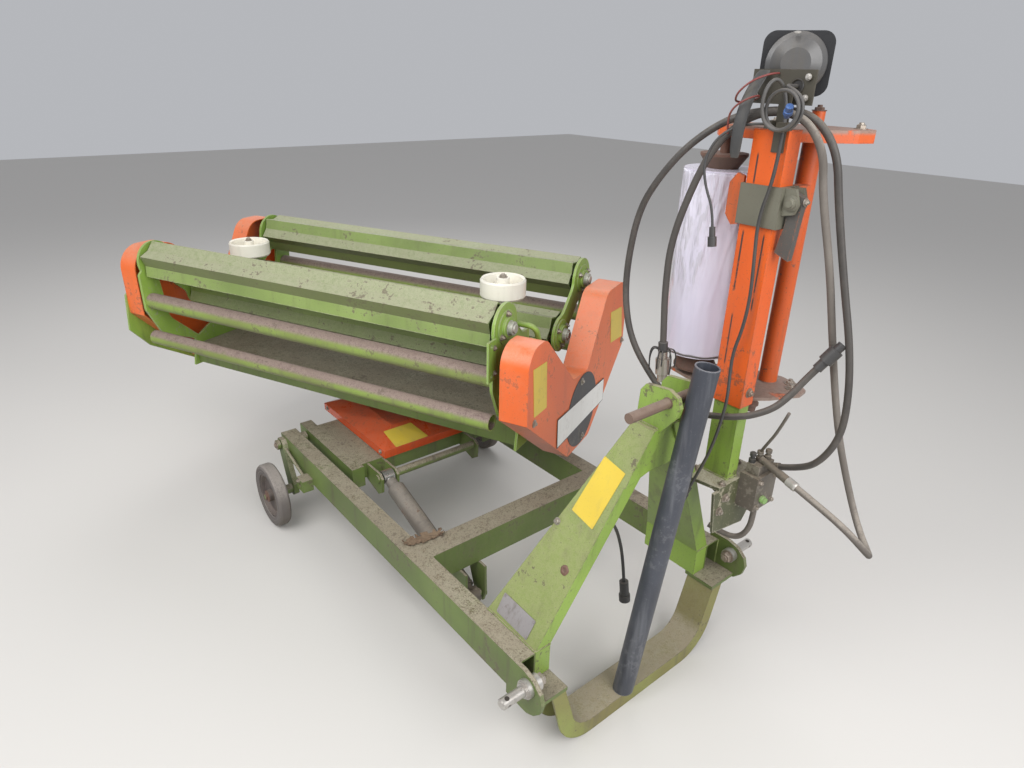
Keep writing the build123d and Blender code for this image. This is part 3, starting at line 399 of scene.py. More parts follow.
flake_rows = []
for i in range(flake_long):
    row = []
    spread = math.sin(math.pi * (i + 1.2) / 18.4) ** 0.45
    for j in range(flake_wide):
        ragged = 1 + 0.35 * noise.noise(Vector((i * 0.9, j * 2.0, 1.0)))
        x = -96 + i * 1.1 + (j - 3) * 7.5 * spread * ragged
        y = -392 + i * 8.1 + 6 * noise.noise(Vector((j * 0.8, i * 0.5, 6.0)))
        curl = max(0.0, abs(j - 3) - 1.4) ** 1.5 * 3.0 + max(0.0, abs(i - 8) - 6) * 3.2
        lumps = 4.4 * (0.5 + noise.noise(Vector((i * 0.85, j * 1.15, 3.0))))
        peaks = 3.0 * max(0.0, noise.noise(Vector((i * 1.9, j * 2.3, 7.0))))
        row.append(at(x, y, 326.4 + curl + lumps + peaks))
    flake_rows.append(row)
flake_brown = painted(
    "flake_brown", (0.165, 0.105, 0.062), (0.095, 0.058, 0.036), (0.31, 0.235, 0.155), dust=0.45, chips=0.9,
    streaks=0.1, gloss=0.85, bare=(0.085, 0.05, 0.032))
flake_piece = skinned("beam_flake", flake_rows, "frame", "rust", flake_brown, torn=flake_torn)
thicken = flake_piece.modifiers.new("thickness", "SOLIDIFY")
thicken.thickness = 0.0018
thicken.offset = 1.0

# Skid: a channel bent to a wide U under the hitch, paint rubbed off to rust along the
# part that stands on the floor.
green_skid = painted(
    "green_skid", (0.25, 0.29, 0.07), (0.2, 0.175, 0.06), (0.3, 0.255, 0.18), dust=0.9, chips=0.75, streaks=0.5,
    gloss=0.55, topping=((0.26, 0.215, 0.13), (0.39, 0.36, 0.27), 0.85))
dress(green_skid, "skid")

# Hitch legs and head: two tapered legs folded from plate and leaning together, in brighter green than the
# frame's green, which is darkened as painted shade, with dust and rust spots on the broad outer faces.
green_leg = painted(
    "green_leg", (0.265, 0.4, 0.065), (0.21, 0.32, 0.055), (0.3, 0.27, 0.17), dust=0.75, chips=0.75, streaks=0.4,
    gloss=0.42, grime_and_shade=(0.085, 0.085, 0.04), topping=((0.19, 0.19, 0.085), (0.285, 0.275, 0.14), 0.85))
dress(green_leg, "headstock", "mast_stub")
leg_out = Vector((0.0, -0.888, 0.46))


def panel(name, corners, thickness, body, slot_name, material, rounding=0.0):
    # a flat plate on four or more corners, its back on them and its face along their normal
    work = bmesh.new()
    low = [work.verts.new(corner) for corner in corners]
    face = work.faces.new(low)
    face.normal_update()
    out = face.normal.copy()
    top = [work.verts.new(Vector(corner) + out * thickness) for corner in corners]
    work.faces.new(top)
    face.normal_flip()
    count = len(corners)
    for i in range(count):
        work.faces.new((low[i], low[(i + 1) % count], top[(i + 1) % count], top[i]))
    if rounding:
        upright = [e for e in work.edges if (e.verts[0] in low) != (e.verts[1] in low)]
        bmesh.ops.bevel(work, geom=upright, offset=rounding, segments=3, affect="EDGES", profile=0.5)
    bmesh.ops.recalc_face_normals(work, faces=work.faces)
    return close_piece(work, name, body, slot_name, material)


def raised(points, out, height):
    return [point + out * height for point in points]


# Rating plate and sign on the near leg: a bare stamped aluminium plate held by four
# rivets, and a bare yellow foil, both dulled by dust.
plate_silver = painted(
    "plate_silver", (0.42, 0.4, 0.4), (0.33, 0.31, 0.31), (0.3, 0.24, 0.2), dust=0.5, chips=0.25, streaks=0.5,
    gloss=0.4, metal=0.5)
foil_yellow = painted(
    "foil_yellow", (0.72, 0.53, 0.06), (0.64, 0.46, 0.052), (0.48, 0.4, 0.18), dust=0.18, chips=0.22, streaks=0.25,
    gloss=0.38, bare=(0.26, 0.22, 0.08), grime_and_shade=(0.4, 0.32, 0.09))
plate_corners = [at(304, -344.3, 336), at(429, -346.3, 332), at(434, -320, 383), at(306, -317.9, 387)]
panel("rating_plate", raised(plate_corners, leg_out, 0.001), 0.0012, "frame", "bright_steel", plate_silver, 0.003)
rivet_spots = [at(309, -341.5, 341.5), at(425, -343.4, 338), at(429, -322.5, 378), at(311, -320.7, 381.8)]
bolts(
    "plate_rivets", "frame", leg_out, raised(rivet_spots, leg_out, 0.0022), head=3.0, height=1.4, washer=3.6,
    shank=0.4, slot_name="bright_steel", material=plate_silver)
leg_foil = [at(400, -184, 646), at(479, -190.3, 634), at(503, -116, 777), at(428, -110, 789)]
panel("leg_sign", raised(leg_foil, leg_out, 0.0007), 0.0006, "frame", "frame_green", foil_yellow, 0.002)
bolts(
    "leg_bolt", "frame", leg_out, raised([at(372, -205, 604)], leg_out, 0.0), head=8, height=6, washer=10,
    slot_name="bright_steel")
for name, s in (("pin_nuts", -1), ("pin_nuts_far", 1)):
    bolts(
        name, "frame", (0, -s, 0), [at(522, s * 387.5, 300)], head=17, height=13, washer=20, shank=5,
        slot_name="bright_steel")

# Rusted plug weld on the near leg's face, a pit with a raised burr round it.
burr_sides = 18
burr_centre = at(452, -248.3, 521.5) + leg_out * 0.0006
burr_along = Vector((1, 0, 0))
burr_over = leg_out.cross(burr_along).normalized()
burr_rings = []
for radius, rise in ((13.0, 0.0), (9.5, 2.2), (6.5, 2.6), (4.2, 0.6), (1.5, 0.3)):
    ring = []
    for i in range(burr_sides):
        angle = 2 * math.pi * i / burr_sides
        rough = 1 + 0.16 * noise.noise(Vector((math.cos(angle) * 1.5, math.sin(angle) * 1.5, radius * 0.2)))
        outward = (burr_along * math.cos(angle) + burr_over * math.sin(angle)) * radius
        ring.append(burr_centre + (outward + leg_out * rise) * rough / 1000)
    burr_rings.append(ring)
rust_spot = painted("rust_spot", (0.165, 0.085, 0.06), (0.11, 0.065, 0.05), (0.26, 0.2, 0.15), dust=0.35, gloss=0.7)
skinned("leg_plug_weld", burr_rings, "frame", "rust", rust_spot, round_rows=True, ends=True)

# Weld seams: rows of overlapping beads where legs, brackets and lugs meet the frame,
# painted over in the frame's green.


def weld(name, body, slot_name, material, path, radius=3.2, pitch=3.4):
    work = bmesh.new()
    for start, end in zip(path, path[1:]):
        run = end - start
        count = max(2, int(run.length * 1000 / pitch))
        lie = run.normalized().to_track_quat("X", "Z").to_matrix().to_4x4() @ Matrix.Diagonal((0.8, 1.0, 1.0, 1.0))
        for i in range(count):
            spot = start + run * ((i + 0.5) / count)
            size = radius / 1000 * (1 + 0.18 * noise.noise(spot * 90))
            bead = Matrix.Translation(spot) @ lie
            bmesh.ops.create_icosphere(work, subdivisions=2, radius=size, matrix=bead)
    for face in work.faces:
        face.smooth = True
    return close_piece(work, name, body, slot_name, material)


for hand, s in hands:
    foot = [at(272, s * 350.5, 326), at(469, s * 350.5, 326), at(469.5, s * 300, 326)]
    weld("leg_weld_" + hand, "frame", "frame_green", green_leg, foot)
    weld(
        "bracket_weld_" + hand, "frame", "frame_green", green_leg, [at(471, s * 406, 236), at(471, s * 406, 324)],
        3.0)
    weld(
        "crossbeam_weld_" + hand, "frame", "frame_green", green_frame_shaded, [at(1, s * 349, 228), at(1, s * 349, 324)],
        3.0)
for name, s in (("lug_welds", -1), ("lug_welds_far", 1)):
    weld(name, "frame", "frame_green", green_leg, [at(470, s * 45.8, 886), at(527, s * 45.8, 886)], 3.0)
weld("head_weld", "frame", "frame_green", green_leg, [at(520.8, -60, 884), at(520.8, 60, 884)], 2.6)

# Hitch pins: plain turned steel, worn bright along the bearing length and brown in the
# corners, each with a stepped collar; the top link pin is rusty all over.


def turned(name, start, direction, profile, body, slot_name, material, sides=32, hollow=False):
    # profile: (distance along, radius) in millimetres; capped at both ends, or run round to its start if hollow
    axis = Vector(direction).normalized()
    across = axis.orthogonal().normalized()
    other = axis.cross(across)
    rings = []
    for along, radius in profile:
        middle = Vector(start) + axis * along / 1000
        ring = []
        for i in range(sides):
            angle = 2 * math.pi * i / sides
            ring.append(middle + (across * math.cos(angle) + other * math.sin(angle)) * radius / 1000)
        rings.append(ring)
    return skinned(name, rings, body, slot_name, material, round_rows=True, round_all=hollow, ends=not hollow,
                   smooth=True, hard_angle=0.6)


steel_pin = painted(
    "steel_pin", (0.56, 0.545, 0.52), (0.43, 0.41, 0.38), (0.33, 0.285, 0.235), dust=0.3, chips=0.45, streaks=0.35,
    gloss=0.33, bare=(0.2, 0.15, 0.11), metal=0.65)
pin_rust = painted(
    "pin_rust", (0.24, 0.17, 0.13), (0.17, 0.11, 0.085), (0.32, 0.255, 0.205), dust=0.55, chips=0.55, streaks=0.45,
    gloss=0.48, bare=(0.12, 0.07, 0.05), metal=0.35)
dress(steel_pin, "lower_pin_near", "lower_pin_far")
# A thin black disc on top of each pin stands in for the inside of its cross hole: painted shade.
hole_shade_black = painted(
    "hole_shade_black", (0.02, 0.017, 0.014), (0.03, 0.024, 0.018), (0.06, 0.05, 0.04), dust=0.2, chips=0.0, streaks=0.0,
    gloss=0.8)
for hand, s in hands:
    turned(
        "pin_collar_" + hand, at(522, s * 429, 300), (0, s, 0),
        [(0, 24.5), (2.2, 24.5), (2.8, 21.5), (5.2, 21.5), (5.8, 19.5), (8.4, 19.5), (8.8, 17.0)], "frame",
        "bright_steel", steel_pin, 40)
    turned(
        "pin_hole_shade_" + hand, at(522 + 3.2, s * 486, 313.35), (0.14, 0, 1), [(0, 6.2), (0.5, 6.2), (0.6, 5.6)],
        "frame", "worn_steel", hole_shade_black, 24)
dress(pin_rust, "top_link_pin")

# Loose tube that stands on the skid and leans by the top link pin: dark blue-grey
# drawn steel with long scratches and a dull skin.
tube_grey = painted(
    "tube_grey", (0.066, 0.073, 0.094), (0.04, 0.044, 0.056), (0.17, 0.17, 0.18), dust=0.45, chips=0.16,
    streaks=0.7, gloss=0.42, bare=(0.26, 0.26, 0.27), grime_and_shade=(0.14, 0.145, 0.16), edge_highlight=(0.4, 0.41, 0.43))
dress(tube_grey, "stand_tube")

# Mast foot: a shelf plate on the far leg in dark olive, scraped pale on top and darkened below with painted
# shade, and the valve block: levers on top, a bent steel pipe below, bolts and a green cap.
valve_dirty = painted(
    "valve_dirty", (0.12, 0.105, 0.085), (0.085, 0.072, 0.058), (0.22, 0.175, 0.13), dust=0.7, streaks=0.5,
    bare=(0.3, 0.27, 0.22))
shelf_olive = painted(
    "shelf_olive", (0.095, 0.105, 0.045), (0.06, 0.062, 0.032), (0.21, 0.185, 0.13), dust=0.5, chips=0.6,
    streaks=0.5, bare=(0.4, 0.36, 0.27), grime_and_shade=(0.045, 0.04, 0.025),
    topping=((0.3, 0.255, 0.18), (0.6, 0.56, 0.44), 1.0), edge_highlight=(0.42, 0.4, 0.31))
dress(valve_dirty, "valve_block")
dress(shelf_olive, "mast_bracket")


def nurbs_line(name, places, radius, fineness, steps):
    line = bpy.data.curves.new(name, "CURVE")
    line.dimensions = "3D"
    line.bevel_depth = radius / 1000
    line.bevel_resolution = fineness
    line.use_fill_caps = True
    line.resolution_u = steps
    spline = line.splines.new("NURBS")
    spline.points.add(len(places) - 1)
    for point, place in zip(spline.points, places):
        point.co = (*place, 1.0)
    spline.order_u = 3
    spline.use_endpoint_u = True
    return line


def tube_along(name, places, radius, body, slot_name, material):
    line = nurbs_line(name, places, radius, 4, 8)
    shape = made_plain(placed(name, line), name)
    bpy.data.curves.remove(line)
    work = bmesh.new()
    work.from_mesh(shape)
    bmesh.ops.remove_doubles(work, verts=work.verts, dist=1e-6)
    bmesh.ops.recalc_face_normals(work, faces=work.faces)
    for face in work.faces:
        face.smooth = len(face.verts) == 4
    work.to_mesh(shape)
    work.free()
    shape.materials.clear()
    return finish_piece(name, shape, body, slot_name, material)


pipe_grey = painted(
    "pipe_grey", (0.17, 0.155, 0.14), (0.12, 0.105, 0.09), (0.26, 0.215, 0.17), dust=0.55, chips=0.3, gloss=0.48,
    metal=0.2)
black_plastic = painted(
    "black_plastic", (0.022, 0.022, 0.024), (0.034, 0.032, 0.031), (0.13, 0.115, 0.095), dust=0.5, chips=0.0,
    streaks=0.2)
tag_green = painted(
    "tag_green", (0.23, 0.4, 0.12), (0.18, 0.33, 0.095), (0.3, 0.28, 0.18), dust=0.4, chips=0.2, streaks=0.2)
tube_along(
    "valve_pipe", [at(630, 282, 604), at(632, 282, 566), at(634, 270, 520), at(612, 262, 482), at(570, 250, 478),
    at(530, 236, 492)], 8.0, "frame", "worn_steel", pipe_grey)
for i, (lever_x, lever_y) in enumerate(((612, 258), (618, 282), (628, 306))):
    turned(
        "valve_spool_%d" % (i + 1), at(lever_x, lever_y, 726), (0, 0, 1),
        [(0, 9), (12, 9), (13, 6), (20, 6), (21, 8.5), (29, 8.5), (31, 6)], "frame", "worn_steel",
        valve_dirty if i else black_plastic)
tube_along(
    "valve_lever", [at(618, 282, 752), at(640, 262, 790), at(668, 252, 842), at(690, 246, 906)], 4.0, "frame",
    "worn_steel", pipe_grey)
turned(
    "valve_cap", at(652, 268, 630), (1, -0.15, -0.1), [(0, 11), (7, 11), (9, 9), (14, 9), (15, 7)], "frame",
    "frame_green", tag_green)
bolts(
    "valve_bolts", "frame", (1, 0, 0), [at(652, y, z) for y, z in ((245, 688), (315, 688), (245, 612), (315, 612))],
    head=7, height=6, washer=8, shank=2)
bolts("web_bolts", "frame", (1, 0, 0), [at(598, y, z) for y, z in ((180, 640), (160, 606))])
bolts(
    "shelf_bolts", "frame", (0, 0, 1), [at(x, y, 680) for x, y in ((500, 180), (548, 300), (590, 170))], head=8,
    height=6, washer=11)
weld(
    "shelf_weld", "frame", "frame_green", green_leg,
    [at(510, 198.4, 681), at(584, 198.4, 681), at(584.6, 241, 681)], 3.0)

# Mast: an orange square tube slipped over the green stub, rubbed to dark grooves where
# the sliding clamp has run on it, with a bolt through the foot.
orange_post = painted(
    "orange_post", (0.76, 0.13, 0.018), (0.66, 0.105, 0.015), (0.42, 0.2, 0.11), dust=0.35, chips=0.55,
    streaks=0.25, gloss=0.36)
dress(orange_post, "mast_post")


def spot_on(tree):
    spot = tree.nodes.new("ShaderNodeTexCoord").outputs["Object"]
    return spot, new_node(tree, "ShaderNodeSeparateXYZ", {"Vector": spot}).outputs


def paint_over(material, mask, colour):
    tree = material.node_tree
    coat = tree.nodes["Principled BSDF"].inputs["Base Color"]
    feed(tree, coat, blend_colour(tree, mask, coat.links[0].from_socket, colour))


def strip(tree, source, low, high, fade):
    return times(tree, ramp(tree, source, low - fade, low), ramp(tree, source, high + fade, high))


post_tree = orange_post.node_tree
post_spot, post_xyz = spot_on(post_tree)
post_uneven = ramp(post_tree, patch_noise(post_tree, post_spot, 45.0, 4.0, 0.7), 0.3, 0.46)
post_face = ramp(post_tree, post_xyz["Y"], zero.y + 0.198, zero.y + 0.1965)
groove_brown = (0.075, 0.042, 0.034)
for middle, foot, head, half in (
        (0.524, 1.425, 1.5, 0.0019), (0.518, 1.18, 1.33, 0.0021), (0.572, 1.14, 1.328, 0.0018),
        (0.5245, 0.99, 1.13, 0.0016)):
    over_width = strip(post_tree, post_xyz["X"], zero.x + middle - half, zero.x + middle + half, 0.0006)
    over_height = strip(post_tree, post_xyz["Z"], foot + 0.012, head - 0.012, 0.012)
    groove = times(post_tree, times(post_tree, over_width, over_height), post_face)
    paint_over(orange_post, times(post_tree, groove, post_uneven), groove_brown)
bolts("post_foot_bolt", "frame", (1, 0, 0), [at(589, 220, 930)])
weld(
    "post_cap_weld", "frame", "orange_paint", orange_post,
    [at(505, 194.5, 1544.5), at(589, 194.5, 1544.5), at(588.5, 246, 1544.5)], 1.8)

# Work lamp: a spun steel shell behind a square black housing, on a dark plate with four
# pale bolts and a rimmed hole for its lead.
lamp_steel = painted(
    "lamp_steel", (0.135, 0.135, 0.138), (0.095, 0.093, 0.092), (0.23, 0.205, 0.18), dust=0.4, chips=0.15,
    streaks=0.35, gloss=0.36, metal=0.2)
lamp_centre = at(547, 242, 1675)
lamp_axis = Vector((-0.5, 0.8660254, 0.0))
rim_start = (lamp_centre + lamp_axis * 0.0565).dot(lamp_axis)
lamp_reach = along_way(lamp_steel.node_tree, spot_on(lamp_steel.node_tree)[0], lamp_axis)
rim_mask = ramp(lamp_steel.node_tree, lamp_reach, rim_start, rim_start + 0.0006)
paint_over(lamp_steel, rim_mask, (0.02, 0.02, 0.022))
dress(lamp_steel, "work_lamp")
plate_dark = painted(
    "plate_dark", (0.088, 0.08, 0.058), (0.062, 0.056, 0.042), (0.18, 0.155, 0.115), dust=0.45, chips=0.35,
    gloss=0.45, metal=0.15)
dress(plate_dark, "lamp_bracket")
bolt_pale = painted(
    "bolt_pale", (0.56, 0.55, 0.52), (0.44, 0.42, 0.39), (0.4, 0.35, 0.29), dust=0.25, chips=0.2, streaks=0.2,
    gloss=0.36, metal=0.4)
bolts(
    "lamp_bolts", "frame", (0, -1, 0),
    [at(x, 210.5, z) for x, z in ((484, 1609), (600, 1609), (484, 1649), (600, 1649))], head=5.8, height=3.2,
    washer=6.8, shank=2, slot_name="bright_steel", material=bolt_pale)
turned(
    "lamp_grommet", at(576, 216.2, 1631), (0, -1, 0), [(0, 15), (2.5, 15), (4, 13.6), (2.8, 12.2), (-3.0, 12.0)],
    "frame", "cable_black", black_plastic)
# A small pale steel disc on the dark dome's top, tilted towards the camera: a painted highlight.
turned(
    "lamp_top_glint", lamp_centre + Vector((-0.006, -0.002, 0.0575)), (0.1, -0.25, 0.96),
    [(0, 7), (1.6, 7), (2.4, 5)], "frame", "bright_steel", bolt_pale)

# Lamp strap: a folded grey strip hung from the lamp's plate, that the red wire is wound
# round, and a blue connector on the lead. The wires are with the cables below.
lead_grey = painted(
    "lead_grey", (0.085, 0.082, 0.08), (0.06, 0.057, 0.055), (0.23, 0.205, 0.18), dust=0.5, chips=0.0, streaks=0.2)
wire_red = painted(
    "wire_red", (0.23, 0.035, 0.03), (0.17, 0.028, 0.025), (0.22, 0.13, 0.11), dust=0.4, chips=0.0, streaks=0.2,
    gloss=0.42)
strap_grey = painted(
    "strap_grey", (0.062, 0.062, 0.062), (0.036, 0.036, 0.036), (0.19, 0.175, 0.155), dust=0.4, chips=0.25,
    streaks=0.4, bare=(0.1, 0.09, 0.08))
plug_blue = painted(
    "plug_blue", (0.045, 0.15, 0.42), (0.035, 0.11, 0.33), (0.2, 0.21, 0.24), dust=0.3, chips=0.1, streaks=0.2,
    gloss=0.42)
strap_points = [
    (503, 205, 1662), (501, 184, 1640), (498, 165, 1610), (495, 154, 1575), (493, 151, 1540), (491, 153, 1510),
    (490, 157, 1482)]
strap_half, strap_hollow = 13.5, 2.5
strap_rows = []
for i, (x, y, z) in enumerate(strap_points):
    swing = math.radians(18 + 9 * math.sin(i * 0.9))
    reach_x = strap_half * math.cos(swing) * (1 - 0.25 * (i == 6))
    reach_y = strap_half * math.sin(swing)
    strap_rows.append(
        [at(x + k * reach_x, y + k * reach_y - strap_hollow * (1 - k * k), z) for k in (-1, -0.4, 0.4, 1)])
strap_piece = skinned("lamp_strap", strap_rows, "frame", "cable_black", strap_grey)
strap_body = strap_piece.modifiers.new("thickness", "SOLIDIFY")
strap_body.thickness = 0.003
strap_body.offset = 0.0
strap_soft = strap_piece.modifiers.new("smooth", "SUBSURF")
strap_soft.levels = strap_soft.render_levels = 2
lamp_plug = turned(
    "lamp_connector", at(606, 149, 1596), (-0.42, 0.53, -0.73),
    [(0, 5.5), (2, 8), (13, 8), (14, 9.5), (22, 9.5), (23, 7), (31, 5.5)], "frame", "cable_black", plug_blue, 14)

# Film unit: a grey clamp plate bent round the post and a dark lever on its ear; behind it
# an orange carrier whose two plates have rusted, with the film roll on rusty cones.
clamp_grey = painted(
    "clamp_grey", (0.155, 0.15, 0.112), (0.122, 0.115, 0.085), (0.23, 0.21, 0.15), dust=0.4, chips=0.45,
    bare=(0.09, 0.07, 0.055))
lever_dark = painted(
    "lever_dark", (0.09, 0.085, 0.078), (0.065, 0.058, 0.052), (0.2, 0.17, 0.14), dust=0.35, chips=0.6, gloss=0.45,
    bare=(0.38, 0.12, 0.05))
dress(clamp_grey, "mast_clamp")
dress(lever_dark, "clamp_lever")
turned(
    "clamp_boss", at(621, 198, 1400), (0, -1, 0), [(0, 17), (3, 17), (4, 12), (8, 12), (9, 9), (12, 8)],
    "film_unit", "clamp_grey", clamp_grey)
bolts(
    "clamp_ear_bolt", "film_unit", (1, 0, 0), [at(642, 216, 1404)], head=7, height=5, washer=9, shank=3,
    slot_name="bright_steel")
carrier_orange = painted(
    "carrier_orange", (0.7, 0.125, 0.022), (0.56, 0.095, 0.018), (0.33, 0.175, 0.115), dust=0.5, chips=0.7,
    streaks=0.35, gloss=0.42)
carrier_tree = carrier_orange.node_tree
carrier_spot, carrier_xyz = spot_on(carrier_tree)
low_plate = ramp(carrier_tree, carrier_xyz["Z"], 0.897, 0.893)
top_plate = times(
    carrier_tree, ramp(carrier_tree, carrier_xyz["Z"], 1.533, 1.5425),
    ramp(carrier_tree, carrier_xyz["Z"], 1.549, 1.547))
rusted = combine(carrier_tree, "MAXIMUM", low_plate, times(carrier_tree, top_plate, 0.9))
rust_patch = ramp(carrier_tree, patch_noise(carrier_tree, carrier_spot, 16.0, 5.0, 0.65), 0.36, 0.44)
rust_grain = patch_noise(carrier_tree, carrier_spot, 90.0, 4.0, 0.6)
carrier_brown = blend_colour(carrier_tree, rust_grain, (0.33, 0.25, 0.205), (0.18, 0.12, 0.095))
paint_over(carrier_orange, times(carrier_tree, rusted, rust_patch), carrier_brown)
dress(carrier_orange, "film_carrier")
cone_rust = painted(
    "cone_rust", (0.17, 0.085, 0.06), (0.12, 0.07, 0.055), (0.25, 0.18, 0.14), dust=0.4, chips=0.6, streaks=0.5,
    gloss=0.7)
dress(cone_rust, "roll_cone_low", "roll_cone_high")
roller_metal = painted(
    "roller_metal", (0.3, 0.29, 0.275), (0.22, 0.205, 0.19), (0.3, 0.26, 0.215), dust=0.4, chips=0.3, streaks=0.5,
    gloss=0.36, metal=0.5)
dress(roller_metal, "stretch_roller_a", "stretch_roller_b")
bolts(
    "carrier_bolts", "film_unit", (0, 0, 1),
    [at(626, 428, 1545), at(581, 437, 893), at(600, 410, 893), at(420, 415, 1545)], head=11, height=8, washer=15)
bolts(
    "carrier_stub_bolt", "film_unit", (0, 0, 1), [at(528, 412, 1579)], head=11, height=6, washer=17, shank=5,
    slot_name="rust", material=rust_spot)
turned(
    "carrier_boss", at(572, 268, 885), (0, 0, -1), [(0, 20), (6, 20), (8, 16), (22, 14), (24, 9)], "film_unit",
    "rust", cone_rust)

# Film roll: lilac-white stretch film on its core. The outer layers have slipped and lie in
# slack creases, most of them high up on the side that shows at the left in the picture.
film = painted(
    "film_lilac", (0.74, 0.7, 0.8), (0.69, 0.65, 0.76), (0.7, 0.67, 0.7), dust=0.12, chips=0.0, streaks=0.06,
    gloss=0.24)
dress(film, "film_roll")
roll_low, roll_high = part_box("film_roll")
roll_axis = (roll_low + roll_high) / 2
wrap_turns, wrap_levels = 150, 64
wrap_foot, wrap_head = roll_low[2] + 0.003, roll_high[2] - 0.003
wrap_rows = []
for j in range(wrap_levels + 1):
    level = j / wrap_levels
    row = []
    for i in range(wrap_turns):
        angle = 2 * math.pi * i / wrap_turns
        cos_a, sin_a = math.cos(angle), math.sin(angle)
        ripple = Vector((cos_a * 2.4, sin_a * 2.4, level * 1.5))
        fold = noise.noise(ripple * 1.5) + 0.5 * noise.noise(Vector((0, level * 9, 0)) + ripple * 4.0)
        crease = max(0.0, 1 - abs(math.sin(angle * 7 + level * 5 + 2.2 * noise.noise(ripple))) * 3.2)
        loose_side = 0.5 + 0.5 * math.cos(angle - math.radians(255))
        slack = 0.22 + 0.78 * min(1.0, max(0.0, (level - 0.3) / 0.45)) * loose_side
        drape = max(0.0, 1 - abs(math.sin(angle * 4.5 - level * 7.0 + 1.6 * noise.noise(ripple * 1.3))) * 2.1)
        radius = (92.7 + (max(0.0, 1.3 + 2.6 * fold) + 1.5 * crease + 3.0 * drape) * slack) / 1000
        waver = 0.004 * noise.noise(Vector((cos_a * 3, sin_a * 3, 9.0))) * (1 if 0 < j < wrap_levels else 0.4)
        height = wrap_foot + (wrap_head - wrap_foot) * level + waver
        row.append((roll_axis.x + radius * cos_a, roll_axis.y + radius * sin_a, height))
    wrap_rows.append(row)
wrap_inside = 0.0915
for height in (roll_high[2] - 0.006, roll_low[2] + 0.006):
    row = []
    for i in range(wrap_turns):
        angle = 2 * math.pi * i / wrap_turns
        row.append(
            (roll_axis.x + wrap_inside * math.cos(angle), roll_axis.y + wrap_inside * math.sin(angle), height))
    wrap_rows.append(row)
loose_film = painted(
    "film_loose", (0.76, 0.73, 0.83), (0.66, 0.62, 0.74), (0.68, 0.65, 0.68), dust=0.15, chips=0.0, streaks=0.1,
    gloss=0.16)
loose_tree = loose_film.node_tree
loose_spot, loose_xyz = spot_on(loose_tree)
slant = {"Rotation": (0.55, 0.25, 0.0), "Scale": (62.0, 62.0, 13.0), "Vector": loose_spot}
slanted = new_node(loose_tree, "ShaderNodeMapping", slant).outputs["Vector"]
wrinkles = patch_noise(loose_tree, slanted, 1.0, 3.0, 0.5)
left_way = Vector((math.cos(math.radians(240)), math.sin(math.radians(240)), 0.1))
left_start = left_way.dot((roll_axis.x, roll_axis.y, roll_high[2]))
left_part = ramp(loose_tree, along_way(loose_tree, loose_spot, left_way), left_start + 0.008, left_start + 0.04)
upper_part = times(loose_tree, ramp(loose_tree, loose_xyz["Z"], roll_low[2] + 0.14, roll_low[2] + 0.24), left_part)
# painted shade: the creases of the loose film are darkened to grey
crease_shade = times(loose_tree, ramp(loose_tree, wrinkles, 0.53, 0.58), times(loose_tree, upper_part, 0.4))
paint_over(loose_film, crease_shade, (0.47, 0.45, 0.48))
bumped(loose_tree, times(loose_tree, wrinkles, upper_part), 1.0, 0.012)
skinned("film_loose", wrap_rows, "film_reel", "film", loose_film, round_rows=True, round_all=True, smooth=True)

# Orange sheet covers: folded and welded, glossy where new and matt with dust on top. The
# front chain cover carries bare signs, a dark disc, a bare white name band and bolts.
orange_cover = painted(
    "orange_cover", (0.8, 0.155, 0.03), (0.7, 0.12, 0.022), (0.6, 0.33, 0.22), dust=0.45, streaks=0.15, gloss=0.36,
    grime_and_shade=(0.3, 0.09, 0.04), topping=((0.56, 0.2, 0.11), (0.62, 0.29, 0.18), 0.25))
dress(orange_cover, "chain_cover_front", "chain_cover_rear")
# The centre cover, under the table, gets a darker, redder copy of the cover orange with less dust: painted shade.
cover_orange_shaded = painted(
    "cover_orange_shaded", (0.64, 0.09, 0.022), (0.52, 0.068, 0.018), (0.43, 0.2, 0.13), dust=0.3, chips=0.25, streaks=0.2,
    gloss=0.24, grime_and_shade=(0.21, 0.06, 0.035))
dress(cover_orange_shaded, "centre_cover")
spin_place = next(Vector(joint["pos_m"]) for joint in frame["joints"] if joint["name"] == "table_spin")
spin_along = next(Vector(joint["axis"]) for joint in frame["joints"] if joint["name"] == "roller_a_spin")
spin_across = Vector((-spin_along.y, spin_along.x, 0.0))


def on_table(a, b, z):
    level_spot = spin_place + (spin_along * a + spin_across * b) / 1000
    return Vector((level_spot.x, level_spot.y, z / 1000))


cover_wall = 913.0
foil_white = painted(
    "foil_white", (0.86, 0.85, 0.82), (0.8, 0.79, 0.76), (0.62, 0.58, 0.52), dust=0.2, chips=0.1, streaks=0.12,
    gloss=0.34, bare=(0.25, 0.2, 0.17), grime_and_shade=(0.5, 0.46, 0.4))
disc_dark = painted(
    "disc_dark", (0.062, 0.062, 0.066), (0.048, 0.047, 0.05), (0.2, 0.18, 0.16), dust=0.4, chips=0.35,
    bare=(0.2, 0.18, 0.16))
near_sign = [(-392, 711), (-299, 706), (-312, 865), (-408, 872)]
far_sign = [(292, 722), (424, 708), (392, 838), (266, 850)]
panel(
    "cover_sign_near", [on_table(cover_wall + 0.2, b, z) for b, z in near_sign], 0.0007, "turntable",
    "orange_paint", foil_yellow, 0.003)
panel(
    "cover_sign_far", [on_table(cover_wall + 0.2, b, z) for b, z in far_sign], 0.0007, "turntable", "orange_paint",
    foil_yellow, 0.003)
turned(
    "cover_disc", on_table(cover_wall + 0.2, 22, 560), spin_along, [(0, 137), (1.2, 137), (1.8, 135)], "turntable",
    "worn_steel", disc_dark, 72)
band_corners = [(-196, 512), (244, 506), (238, 594), (-202, 616)]
panel(
    "cover_band", [on_table(cover_wall + 2.2, b, z) for b, z in band_corners], 0.0007, "turntable", "orange_paint",
    foil_white, 0.003)
band_edge = [(-200, 508), (248, 502), (242, 598), (-206, 620)]
